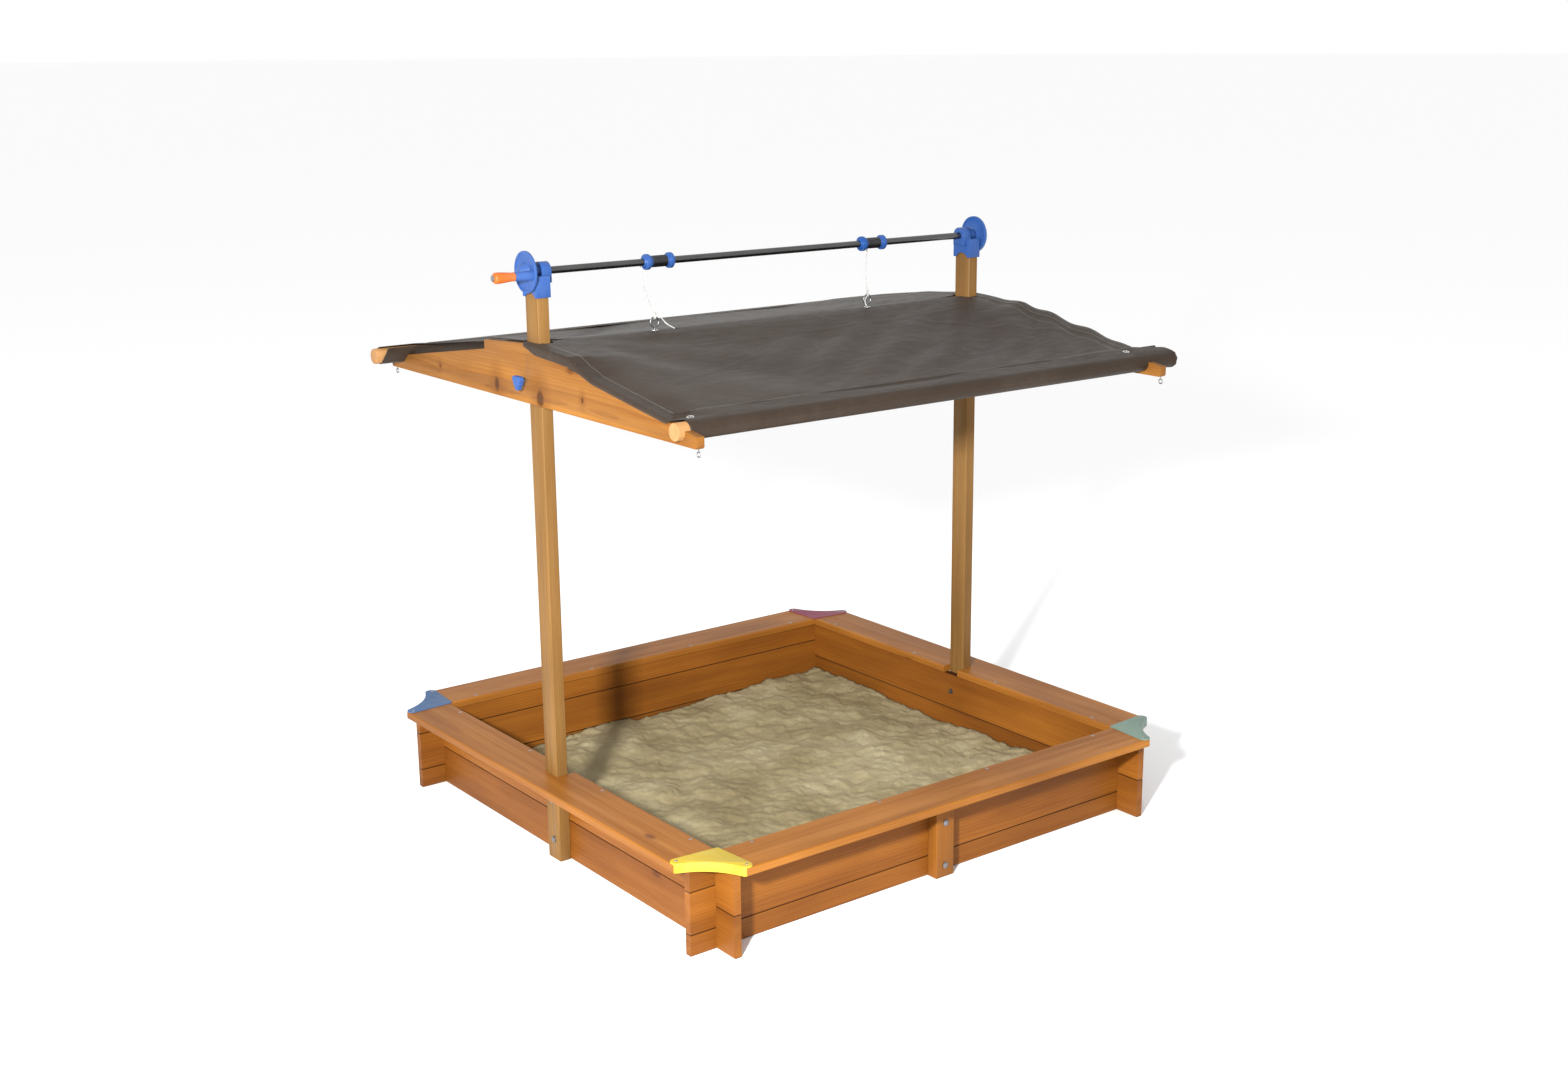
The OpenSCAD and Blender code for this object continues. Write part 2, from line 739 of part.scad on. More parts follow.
// Screw eyes under the ends of the gable boards
module end_eyes() color("#8f9296")
    for (sx = [-1, 1], sy = [-1, 1])
        translate([sx * (gable_in + gable_t / 2), sy * (gable_y - 7), roof_z]) {
            translate([0, 0, -11.5])
                rotate([0, 0, 90])
                    wire_ring(5.2, 2.4);
            translate([0, 0, -6.4])
                cylinder(h = 18, d = 2.4, $fn = 16);
        }

// Screws up through the gable boards into the rods
module rod_screws() color("#c9ccd0")
    for (sx = [-1, 1], sy = [-1, 1])
        translate([sx * (gable_in + gable_t / 2), sy * rod_y, roof_z + 0.3])
            rotate([180, 0, 0])
                screw(28, 3.5, 7);

// Clamp knob of the +X gable: three-lobed head on a threaded stud
module knob_body() {
    translate([gable_out + 13, 0, roof_z + knob_z])
        rotate([0, 90, 0])
            difference() {
                union() {
                    cylinder(h = 11, d = 25, $fn = 48);
                    for (a = [0 : 120 : 240])
                        rotate([0, 0, a])
                            translate([12, 0, 0.5])
                                cylinder(h = 10, d = 13, $fn = 32);
                    translate([0, 0, -4])
                        cylinder(h = 5, d = 16, $fn = 32);
                }
                translate([0, 0, -5])
                    cylinder(h = 12, d = 8, $fn = 32);
            }
}
module stud_body() {
    translate([post_out + 1, 0, roof_z + knob_z])
        rotate([0, 90, 0])
            cylinder(h = gable_out + 20 - post_out - 1, d = 8, $fn = 32);
}
module knob_left() color("#2f63c9") rotate([0, 0, 180]) knob_body();
module knob_right() color("#2f63c9") knob_body();
module stud_left() color("#b9bcc0") rotate([0, 0, 180]) stud_body();
module stud_right() color("#b9bcc0") stud_body();

// ---------- lifting cords ----------

// Cord from the back of a spool down to the ring eye, slightly bowed to one side
module lift_cord(x0, x1, bow) {
    z0 = eye_z + eye_r + 5;
    n = 18;
    p = [for (i = [0 : n]) let (u = i / n) [
        x1 + (x0 - x1) * sin(90 * u) + bow * sin(180 * u),
        cord_y * (1 - pow(1 - u, 2)),
        z0 + (shaft_z - z0) * u
    ]];
    cord_tube(p, cord_d, 8);
}
module cord_left() color("#dcdad2") lift_cord(-spool_x - spool_l / 2 + 3, -eye_x, 0);
module cord_right() color("#dcdad2") lift_cord(spool_x, eye_xr, -5);

// Knots on the ring eyes: a loop round the ring, a round knot and a short tail
module cord_knots() color("#dcdad2")
    for (q = [[-eye_x, 1], [eye_xr, -1]])
        translate([q[0], 0, eye_z + eye_r]) {
            rotate([0, 0, 90])
                wire_ring(eye_d / 2 + cord_d / 2 + 0.2, cord_d);
            translate([0, 0, 6.5])
                sphere(d = 8, $fn = 32);
            translate([0, 0, 6.5])
                rotate([0, q[1] * 115, -35])
                    cylinder(h = q[1] > 0 ? 34 : 16, d = cord_d, $fn = 12);
        }

// ---------- assembly ----------

wall_front_lower();
wall_front_middle();
wall_front_upper();
wall_back_lower();
wall_back_middle();
wall_back_upper();
wall_left_lower();
wall_left_upper();
wall_right_lower();
wall_right_upper();
seat_front();
seat_back();
seat_left();
seat_right();
cap_near();
cap_left();
cap_back();
cap_right();
post_left();
post_right();
block_front();
block_back();
post_bolts();
block_bolts();
seat_screws();
cap_screws();
sand();
bracket_left();
bracket_right();
bracket_screws();
shaft();
spool_flanges();
spool_barrels();
crank_wheel();
end_disc();
handle_pin();
grip();
gable_left();
gable_right();
rod_front();
rod_back();
ridge_beam();
guide_blocks();
roof_cloth();
grommets();
ridge_eyes();
end_eyes();
rod_screws();
knob_left();
knob_right();
stud_left();
stud_right();
cord_left();
cord_right();
cord_knots();
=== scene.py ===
"""A wooden sandbox whose crank-raised fabric roof is also its cover.

The sections go from the lifting cords through the box, the winch and the roof to the floor and the light.
"""

import bmesh
import bpy
import numpy as np
from mathutils import Matrix, Vector


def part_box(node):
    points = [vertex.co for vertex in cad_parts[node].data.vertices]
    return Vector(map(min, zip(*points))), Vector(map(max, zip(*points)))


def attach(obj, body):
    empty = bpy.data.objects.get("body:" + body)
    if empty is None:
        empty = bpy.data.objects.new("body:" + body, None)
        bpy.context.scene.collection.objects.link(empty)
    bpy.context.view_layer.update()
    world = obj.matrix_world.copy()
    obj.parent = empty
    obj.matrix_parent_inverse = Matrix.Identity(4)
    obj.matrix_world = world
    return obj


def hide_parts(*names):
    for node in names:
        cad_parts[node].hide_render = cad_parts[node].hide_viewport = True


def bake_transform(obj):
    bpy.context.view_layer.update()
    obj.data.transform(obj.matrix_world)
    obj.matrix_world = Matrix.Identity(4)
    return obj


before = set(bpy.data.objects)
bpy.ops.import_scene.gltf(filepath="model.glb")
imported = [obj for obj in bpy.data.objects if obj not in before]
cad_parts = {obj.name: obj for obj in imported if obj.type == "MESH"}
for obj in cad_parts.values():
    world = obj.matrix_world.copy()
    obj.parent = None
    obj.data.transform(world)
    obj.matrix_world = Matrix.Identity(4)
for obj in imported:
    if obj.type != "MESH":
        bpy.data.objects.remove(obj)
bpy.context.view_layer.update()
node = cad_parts


# ---------------------------------------------------------------------------------------------
# Camera: it stands in front of the near corner of the box, a little above the roof,
# with a normal lens and a very small shift.
# ---------------------------------------------------------------------------------------------
turn, tilt, roll = np.radians([37.943, 14.678, -0.2985])
ahead = np.array([np.sin(turn) * np.cos(tilt), np.cos(turn) * np.cos(tilt), -np.sin(tilt)])
side = np.array([np.cos(turn), -np.sin(turn), 0.0])
up = np.cross(side, ahead)
right = np.cos(roll) * side + np.sin(roll) * up
top = -np.sin(roll) * side + np.cos(roll) * up
camera = bpy.data.objects.new("camera", bpy.data.cameras.new("camera"))
camera.matrix_world = Matrix(
    [
        [right[0], top[0], -ahead[0], -2.6739],
        [right[1], top[1], -ahead[1], -3.5939],
        [right[2], top[2], -ahead[2], 1.8066],
        [0, 0, 0, 1],
    ]
)
camera.data.sensor_width = 36
camera.data.lens = 43.97
camera.data.shift_x = -0.01926
camera.data.shift_y = 0.0032
camera.data.clip_end = 1000
bpy.context.scene.collection.objects.link(camera)
bpy.context.scene.camera = camera


# ---------------------------------------------------------------------------------------------
# Lifting cords: thin white laid cord of three strands. Each one leaves the back of its spool
# and is tied to a ring eye on the ridge, so it grows longer as the roof goes down.
# ---------------------------------------------------------------------------------------------
CORD_R = 0.0015
SHAFT_Z = 1.346


def skin(name, points, wrap=False, caps=False):
    """A mesh from a grid of points (rows, columns, 3), joined row to row and column to column.
    wrap joins the last column to the first; caps closes the first and last rows with one face each."""
    rows, cols = points.shape[:2]
    i = np.arange(rows - 1)[:, None]
    j = np.arange(cols if wrap else cols - 1)[None, :]
    k = (j + 1) % cols
    quads = np.stack(
        np.broadcast_arrays(i * cols + j, i * cols + k, (i + 1) * cols + k, (i + 1) * cols + j), -1
    )
    faces = quads.reshape(-1, 4).tolist()
    if caps:
        faces += [list(range(cols))[::-1], list(range((rows - 1) * cols, rows * cols))]
    mesh = bpy.data.meshes.new(name)
    mesh.from_pydata(points.reshape(-1, 3).tolist(), [], faces)
    mesh.polygons.foreach_set("use_smooth", [True] * len(mesh.polygons))
    mesh.update()
    made = bpy.data.objects.new(name, mesh)
    bpy.context.scene.collection.objects.link(made)
    return made


def face_outwards(mesh, merge=0.0, fill=False):
    """Turns every face of a closed mesh to point away from its inside. Before that, points closer than merge
    are joined, and fill closes every hole with one face."""
    cells = bmesh.new()
    cells.from_mesh(mesh)
    if merge:
        bmesh.ops.remove_doubles(cells, verts=cells.verts, dist=merge)
    if fill:
        bmesh.ops.holes_fill(cells, edges=[e for e in cells.edges if e.is_boundary], sides=0)
    bmesh.ops.recalc_face_normals(cells, faces=cells.faces)
    cells.to_mesh(mesh)
    cells.free()


def laid_cord(path, radius, sides=18, strands=3, lay=0.011):
    """A tube along path. Its radius swells and shrinks round the section in as many lobes as there are
    strands, and the lobes turn once in every length of lay, which draws the twist of the strands."""
    ahead = np.gradient(path, axis=0)
    ahead /= np.linalg.norm(ahead, axis=1, keepdims=True)
    guide = np.where(np.abs(ahead[:, 2:3]) > 0.9, [[1.0, 0.0, 0.0]], [[0.0, 0.0, 1.0]])
    first = np.zeros_like(ahead)
    first[0] = guide[0] - ahead[0] * (guide[0] @ ahead[0])
    for n in range(1, len(path)):
        first[n] = first[n - 1] - ahead[n] * (first[n - 1] @ ahead[n])
        first[n] /= np.linalg.norm(first[n])
    first[0] /= np.linalg.norm(first[0])
    second = np.cross(ahead, first)
    run = np.concatenate([[0], np.cumsum(np.linalg.norm(np.diff(path, axis=0), axis=1))])
    a = np.linspace(0, 2 * np.pi, sides, endpoint=False)[None, :]
    r = radius * (0.90 + 0.10 * np.cos(strands * (a + 2 * np.pi * run[:, None] / lay / strands)))
    return path[:, None] + r[..., None] * (
        np.cos(a)[..., None] * first[:, None] + np.sin(a)[..., None] * second[:, None]
    )


def plain_nodes(name):
    """A new material with its node tree, shader and Object coordinates."""
    made = bpy.data.materials.new(name)
    made.use_nodes = True
    tree = made.node_tree
    shader = tree.nodes["Principled BSDF"]
    where = tree.nodes.new("ShaderNodeTexCoord").outputs["Object"]
    return made, tree, shader, where


def noise(tree, where, scale, detail=3.0, rough=0.55, stretch=None, shift=(0, 0, 0)):
    """Noise over coordinates that are first moved by shift and stretched along each axis."""
    if stretch is not None or any(shift):
        place = tree.nodes.new("ShaderNodeMapping")
        place.inputs["Location"].default_value = shift
        place.inputs["Scale"].default_value = stretch or (1, 1, 1)
        tree.links.new(where, place.inputs["Vector"])
        where = place.outputs["Vector"]
    made = tree.nodes.new("ShaderNodeTexNoise")
    made.inputs["Scale"].default_value = scale
    made.inputs["Detail"].default_value = detail
    made.inputs["Roughness"].default_value = rough
    tree.links.new(where, made.inputs["Vector"])
    return made.outputs["Fac"]


def ramp(tree, value, stops):
    """Colours along a value: stops are (place, colour)."""
    made = tree.nodes.new("ShaderNodeValToRGB")
    band = made.color_ramp
    while len(band.elements) < len(stops):
        band.elements.new(0.5)
    for element, (place, colour) in zip(band.elements, stops):
        element.position = place
        element.color = (*colour, 1)
    tree.links.new(value, made.inputs["Fac"])
    return made.outputs["Color"]


def level(tree, value, low, high, to_low, to_high):
    """A value taken from one range to another, held at the ends."""
    made = tree.nodes.new("ShaderNodeMapRange")
    for key, number in zip(("From Min", "From Max", "To Min", "To Max"), (low, high, to_low, to_high)):
        made.inputs[key].default_value = number
    tree.links.new(value, made.inputs["Value"])
    return made.outputs["Result"]


def maths(tree, kind, a, b=None):
    """One step of arithmetic on values or numbers."""
    made = tree.nodes.new("ShaderNodeMath")
    made.operation = kind
    for socket, value in zip(made.inputs, (a, b)):
        if value is None:
            continue
        if isinstance(value, (int, float)):
            socket.default_value = value
        else:
            tree.links.new(value, socket)
    return made.outputs["Value"]


def weighted(tree, a, a_share, b, b_share):
    """The sum of two values, each times its share."""
    return maths(tree, "ADD", maths(tree, "MULTIPLY", a, a_share), maths(tree, "MULTIPLY", b, b_share))


def distance(tree, a, b):
    """The root of the sum of two squares."""
    return maths(
        tree, "SQRT", maths(tree, "ADD", maths(tree, "MULTIPLY", a, a), maths(tree, "MULTIPLY", b, b))
    )


def centred(tree, value, size):
    """A value from 0 to 1, moved to lie round zero and multiplied by size."""
    return maths(tree, "MULTIPLY", maths(tree, "SUBTRACT", value, 0.5), size)


def blend_colours(tree, share, a, b, kind="MIX"):
    """Colour a mixed with colour b by a share, which may be a number."""
    made = tree.nodes.new("ShaderNodeMix")
    made.data_type = "RGBA"
    made.blend_type = kind
    # the colour inputs of this node are its seventh and eighth
    for socket, value in ((made.inputs[0], share), (made.inputs[6], a), (made.inputs[7], b)):
        if isinstance(value, (int, float)):
            socket.default_value = value
        elif isinstance(value, tuple):
            socket.default_value = (*value, 1)
        else:
            tree.links.new(value, socket)
    return made.outputs[2]


def relief(tree, shader, height, depth, strength=1.0):
    """Bump of a given depth in metres."""
    made = tree.nodes.new("ShaderNodeBump")
    made.inputs["Strength"].default_value = strength
    made.inputs["Distance"].default_value = depth
    tree.links.new(height, made.inputs["Height"])
    tree.links.new(made.outputs["Normal"], shader.inputs["Normal"])


def cord_finish():
    """White polyester cord, a little grey where it has been handled."""
    made, tree, shader, where = plain_nodes("cord_white")
    worn = noise(tree, where, 90, 2)
    fibre = noise(tree, where, 2600, 2)
    tree.links.new(
        ramp(tree, worn, [(0.3, (0.30, 0.295, 0.28)), (0.7, (0.46, 0.455, 0.435))]),
        shader.inputs["Base Color"],
    )
    shader.inputs["Roughness"].default_value = 0.75
    shader.inputs["Sheen Weight"].default_value = 0.3
    relief(tree, shader, fibre, 0.0002, 0.6)
    return made


white_cord = cord_finish()
EYE_R = 0.011
ring = [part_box("ridge_eyes")[k] for k in (0, 1)]
EYE_TOP = ring[1].z - 0.002
EYE_X = (ring[0].x + EYE_R + 0.002, ring[1].x - EYE_R - 0.002)


def cord_path(x_top, x_low, bow, count=90):
    """The line of a lifting cord, u from 0 at the knot to 1 at the spool: x goes over by a quarter sine
    with a bow of half a sine, y leaves the middle as the square of the distance left, and z rises
    evenly."""
    u = np.linspace(0, 1, count)
    low = EYE_TOP + 0.005
    return np.stack(
        [
            x_low + (x_top - x_low) * np.sin(u * np.pi / 2) + bow * np.sin(u * np.pi),
            0.0148 * (1 - (1 - u) ** 2),
            low + (SHAFT_Z - low) * u,
        ],
        -1,
    )


for name, x_top, x_low, bow in (("left", -0.347, EYE_X[0], 0.0), ("right", 0.309, EYE_X[1], -0.005)):
    path = cord_path(x_top, x_low, bow)
    made = skin(f"lifting_cord_{name}", laid_cord(path, CORD_R), wrap=True, caps=True)
    face_outwards(made.data)
    made.data.materials.append(white_cord)
    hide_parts(f"cord_{name}")
    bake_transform(made)


def knot_path(x, tail):
    """The cord's own knot: two turns round the top of the ring, a climb of three turns round the standing
    cord, and a loose tail that curves down and lies along the fabric."""
    t = np.linspace(0, 1, 40)
    a = 2 * np.pi * (2.0 * t + 0.25)
    loop = np.stack([x - 0.0035 + 0.007 * t, 0.0038 * np.cos(a), EYE_TOP + 0.0038 * np.sin(a)], -1)
    b = 2 * np.pi * 3 * t + a[-1]
    climb = np.stack([x + 0.0028 * np.cos(b), 0.0028 * np.sin(b), EYE_TOP + 0.0045 + 0.0078 * t], -1)
    end = climb[-1]
    s = np.linspace(0, 1, 30)[1:]
    drop = np.stack(
        [
            end[0] + tail[0] * s + 0.004 * np.sin(s * np.pi * 2),
            end[1] + tail[1] * s + 0.003 * np.sin(s * np.pi),
            end[2] + 0.003 * np.sin(s * np.pi) + (tail[2] - end[2]) * s**0.7,
        ],
        -1,
    )
    whole = np.concatenate([loop, climb, drop])
    for _ in range(3):
        whole[1:-1] = (whole[:-2] + 2 * whole[1:-1] + whole[2:]) / 4
    return whole


ROOF_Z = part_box("gable_left")[0].z
for name, x, tail in (
    ("left", EYE_X[0], (0.036, -0.030, ROOF_Z + 0.1305)),
    ("right", EYE_X[1], (-0.014, -0.018, ROOF_Z + 0.1315)),
):
    made = skin(f"knot_{name}", laid_cord(knot_path(x, tail), CORD_R * 0.95, sides=12), wrap=True, caps=True)
    face_outwards(made.data)
    made.data.materials.append(white_cord)
    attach(made, "roof")
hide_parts("cord_knots")


# ---------------------------------------------------------------------------------------------
# Wall boards: planed softwood, lapped at the corners and stained a honey brown. The grain runs
# along each board, and every board is cut from another part of the log.
# ---------------------------------------------------------------------------------------------
AXES = {"x": (0, 1, 2), "y": (1, 0, 2), "z": (2, 1, 0)}


def stained_wood(
    name, along, number, light, dark, pith=(0.045, 0.06), gloss=0.44, middle=(0, 0), joints=(), knots=()
):
    """Wood with its grain along one axis. Growth rings are the distance from the pith line, in steps;
    slow noise along the grain bends them, a Voronoi pattern stretched along the grain sets a knot here
    and there, and finer streaks and pores run with the grain. number moves the pattern to another part of
    the log. joints are the heights where the board meets the next one: a near-black line of
    painted shade is drawn there, for the shade in the gap. knots are listed, each (place along, place
    across, radius), with a dark core and a soft halo."""
    made, tree, shader, where = plain_nodes(name)
    apart = tree.nodes.new("ShaderNodeSeparateXYZ")
    tree.links.new(where, apart.inputs[0])
    a, b, c = (apart.outputs[k] for k in AXES[along])
    grain = tree.nodes.new("ShaderNodeCombineXYZ")
    for k, (value, shift) in enumerate(((a, 3.7 * number), (b, -middle[0]), (c, -middle[1]))):
        tree.links.new(maths(tree, "ADD", value, shift), grain.inputs[k])
    grain = grain.outputs[0]
    part = tree.nodes.new("ShaderNodeSeparateXYZ")
    tree.links.new(grain, part.inputs[0])
    bend = noise(tree, grain, 1.0, 2, 0.5, stretch=(1.1, 5, 5))
    sway = noise(tree, grain, 1.0, 2, 0.5, stretch=(0.7, 2, 2), shift=(5, 3, 1))
    knot = tree.nodes.new("ShaderNodeTexVoronoi")
    knot.inputs["Scale"].default_value = 1.0
    knot.inputs["Randomness"].default_value = 1.0
    spread = tree.nodes.new("ShaderNodeMapping")
    spread.inputs["Scale"].default_value = (4.6, 9.5, 9.5)
    spread.inputs["Location"].default_value = (0.37 * number, 0.21 * number, 0)
    tree.links.new(grain, spread.inputs["Vector"])
    tree.links.new(spread.outputs["Vector"], knot.inputs["Vector"])
    chance = tree.nodes.new("ShaderNodeSeparateXYZ")
    tree.links.new(knot.outputs["Color"], chance.inputs[0])
    there = level(tree, chance.outputs[0], 0.62, 0.66, 0, 1)
    near_knot = maths(tree, "MULTIPLY", level(tree, knot.outputs["Distance"], 0.0, 0.36, 1, 0), there)
    near_knot = maths(tree, "POWER", near_knot, 3.0)
    in_knot = maths(tree, "MULTIPLY", level(tree, knot.outputs["Distance"], 0.05, 0.10, 1, 0), there)
    bb = maths(tree, "ADD", part.outputs[1], centred(tree, bend, 0.034))
    bb = maths(tree, "ADD", bb, maths(tree, "MULTIPLY", near_knot, 0.012))
    cc = maths(tree, "ADD", part.outputs[2], centred(tree, sway, 0.05))
    bb = maths(tree, "ADD", bb, pith[0])
    cc = maths(tree, "ADD", cc, pith[1])
    far = distance(tree, bb, cc)
    ring_step = maths(tree, "FRACT", maths(tree, "MULTIPLY", far, 165.0))
    late = maths(tree, "POWER", ring_step, 2.2)
    streak = noise(tree, grain, 1.0, 4, 0.6, stretch=(1.6, 42, 42))
    fine = noise(tree, grain, 1.0, 3, 0.6, stretch=(14, 480, 480))
    patch = noise(tree, grain, 1.0, 2, 0.5, stretch=(2.2, 7, 7), shift=(9, 2, 4))
    mix = maths(tree, "MULTIPLY", late, 0.24)
    mix = maths(tree, "ADD", mix, level(tree, streak, 0.30, 0.72, 0.06, 0.46))
    mix = maths(tree, "ADD", mix, level(tree, fine, 0.35, 0.75, -0.05, 0.14))
    body = ramp(tree, mix, [(0.05, light), (0.95, dark)])
    shade = ramp(tree, patch, [(0.30, (0.74, 0.70, 0.66)), (0.70, (1.14, 1.16, 1.18))])
    body = blend_colours(tree, 1.0, body, shade, "MULTIPLY")
    rim = tuple(0.42 * d for d in dark)
    body = blend_colours(tree, maths(tree, "MULTIPLY", in_knot, 0.75), body, rim)
    body = blend_colours(tree, maths(tree, "MULTIPLY", near_knot, 0.45), body, dark)
    for place, across, radius in knots:
        da = maths(tree, "MULTIPLY", maths(tree, "SUBTRACT", a, place), 0.8 / radius)
        dc = maths(tree, "MULTIPLY", maths(tree, "SUBTRACT", c, across), 0.55 / radius)
        off = distance(tree, da, dc)
        off = maths(tree, "ADD", off, centred(tree, streak, 0.9))
        body = blend_colours(tree, level(tree, off, 0.6, 3.2, 0.55, 0), body, dark)
        body = blend_colours(tree, level(tree, off, 0.55, 0.95, 0.85, 0), body, rim)
    high = tree.nodes.new("ShaderNodeSeparateXYZ")
    tree.links.new(where, high.inputs[0])
    # painted shade: a near-black line at each of these heights, for the shade in the gaps where boards meet
    # and under the seat edge
    for z in joints:
        off = maths(tree, "ABSOLUTE", maths(tree, "SUBTRACT", high.outputs[2], z))
        body = blend_colours(
            tree, level(tree, off, 0.0006, 0.0019, 0.85, 0), body, tuple(0.10 * d for d in dark)
        )
    tree.links.new(body, shader.inputs["Base Color"])
    tree.links.new(level(tree, streak, 0.2, 0.8, gloss - 0.07, gloss + 0.12), shader.inputs["Roughness"])
    shader.inputs["Specular IOR Level"].default_value = 0.14
    height = weighted(tree, fine, 0.5, late, 0.35)
    relief(tree, shader, height, 0.0005, 0.55)
    return made


def dress(names, finish):
    """Gives CAD nodes one finish."""
    for name in [names] if isinstance(names, str) else names:
        slots = node[name].data.materials
        if len(slots):
            slots[0] = finish
        else:
            slots.append(finish)


WALL_LIGHT, WALL_DARK = (0.232, 0.082, 0.0105), (0.112, 0.029, 0.0035)
for number, name in enumerate(n for n in node if n.startswith("wall_")):
    across = "x" if ("front" in name or "back" in name) else "y"
    low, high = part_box(name)
    middle_z = (low.z + high.z) / 2
    flat = ((low.y + high.y) / 2, middle_z) if across == "x" else ((low.x + high.x) / 2, middle_z)
    tone = 0.90 + 0.16 * ((number * 7) % 5) / 4
    light, dark = (tuple(tone * c for c in colour) for colour in (WALL_LIGHT, WALL_DARK))
    # the top and bottom edge of each board get a line of painted shade
    dress(
        name,
        stained_wood(name + "_wood", across, number + 1, light, dark, middle=flat, joints=(low.z, high.z)),
    )


# ---------------------------------------------------------------------------------------------
# Middle blocks and posts: planed square timber with eased edges. The blocks are bolted to the
# front and back walls, and the two posts to the side walls.
# ---------------------------------------------------------------------------------------------
def softened(name, width, segments=2, limit=35):
    """A copy of a CAD node with its edges rounded: its triangles are merged and its flats joined, then every
    edge sharper than the limit gets a bevel of that width."""
    made = bpy.data.objects.new(name + "_soft", node[name].data.copy())
    bpy.context.scene.collection.objects.link(made)
    cells = bmesh.new()
    cells.from_mesh(made.data)
    bmesh.ops.remove_doubles(cells, verts=cells.verts, dist=1e-5)
    bmesh.ops.dissolve_limit(cells, angle_limit=np.radians(2), verts=cells.verts, edges=cells.edges)
    cells.to_mesh(made.data)
    cells.free()
    made.data.polygons.foreach_set("use_smooth", [True] * len(made.data.polygons))
    edge = made.modifiers.new("edge", "BEVEL")
    edge.width = width
    edge.segments = segments
    edge.limit_method = "ANGLE"
    edge.angle_limit = np.radians(limit)
    edge.use_clamp_overlap = True
    edge.harden_normals = True
    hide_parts(name)
    return made


def finish_soft(name, width, finish, body, segments=2, limit=35):
    """A softened copy with its finish, slot and body."""
    made = softened(name, width, segments, limit)
    made.data.materials.clear()
    made.data.materials.append(finish)
    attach(made, body)
    return made


POST_LIGHT, POST_DARK = (0.210, 0.112, 0.033), (0.110, 0.048, 0.011)
for number, name in enumerate(("block_front", "block_back")):
    low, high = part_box(name)
    wood = stained_wood(
        name + "_wood", "z", 21 + number, (0.250, 0.096, 0.014), (0.130, 0.038, 0.005), middle=(low.y, low.x)
    )
    finish_soft(name, 0.002, wood, "box")
for number, name in enumerate(("post_left", "post_right")):
    low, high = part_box(name)
    wood = stained_wood(
        name + "_wood", "z", 31 + 2 * number, POST_LIGHT, POST_DARK, middle=(0, (low.x + high.x) / 2)
    )
    finish_soft(name, 0.0022, wood, "box")


# ---------------------------------------------------------------------------------------------
# Seats: four wide boards with rounded edges, mitred at the corners and screwed down on the
# walls. Sun and trousers have made their tops a little paler than the walls.
# ---------------------------------------------------------------------------------------------
SEAT_LIGHT, SEAT_DARK = (0.300, 0.116, 0.018), (0.160, 0.048, 0.006)
for number, (name, across) in enumerate(
    (("seat_front", "x"), ("seat_back", "x"), ("seat_left", "y"), ("seat_right", "y"))
):
    low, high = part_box(name)
    flat = ((low.y + high.y) / 2, low.z) if across == "x" else ((low.x + high.x) / 2, low.z)
    dress(
        name,
        stained_wood(
            name + "_wood",
            across,
            41 + number,
            SEAT_LIGHT,
            SEAT_DARK,
            pith=(0.02, 0.075),
            gloss=0.40,
            middle=flat,
        ),
    )


# ---------------------------------------------------------------------------------------------
# Screws, bolts and studs: zinc-plated steel. The screw heads are raised countersunk heads
# with a cross recess; the bolts and nuts keep their turned shapes.
# ---------------------------------------------------------------------------------------------
def metal(name, colour, rough, streaks=(1, 1, 1), spread=0.12):
    """Steel whose roughness and tone change in fine streaks."""
    made, tree, shader, where = plain_nodes(name)
    drawn = noise(tree, where, 1.0, 3, 0.6, stretch=tuple(180 * s for s in streaks))
    dull = noise(tree, where, 14, 2)
    dark = tuple(0.72 * c for c in colour)
    tree.links.new(
        blend_colours(tree, level(tree, drawn, 0.35, 0.7, 0, 1), dark, colour), shader.inputs["Base Color"]
    )
    both = weighted(tree, drawn, 0.6, dull, 0.4)
    tree.links.new(
        level(tree, both, 0.3, 0.7, rough - spread / 2, rough + spread), shader.inputs["Roughness"]
    )
    shader.inputs["Metallic"].default_value = 1.0
    relief(tree, shader, drawn, 0.00006, 0.5)
    return made


zinc = metal("zinc", (0.42, 0.42, 0.43), 0.32)
galvanised = metal("galvanised", (0.26, 0.26, 0.27), 0.36)
dress(["rod_screws", "stud_left", "stud_right"], zinc)
dress(["end_eyes", "ridge_eyes", "post_bolts", "block_bolts"], galvanised)


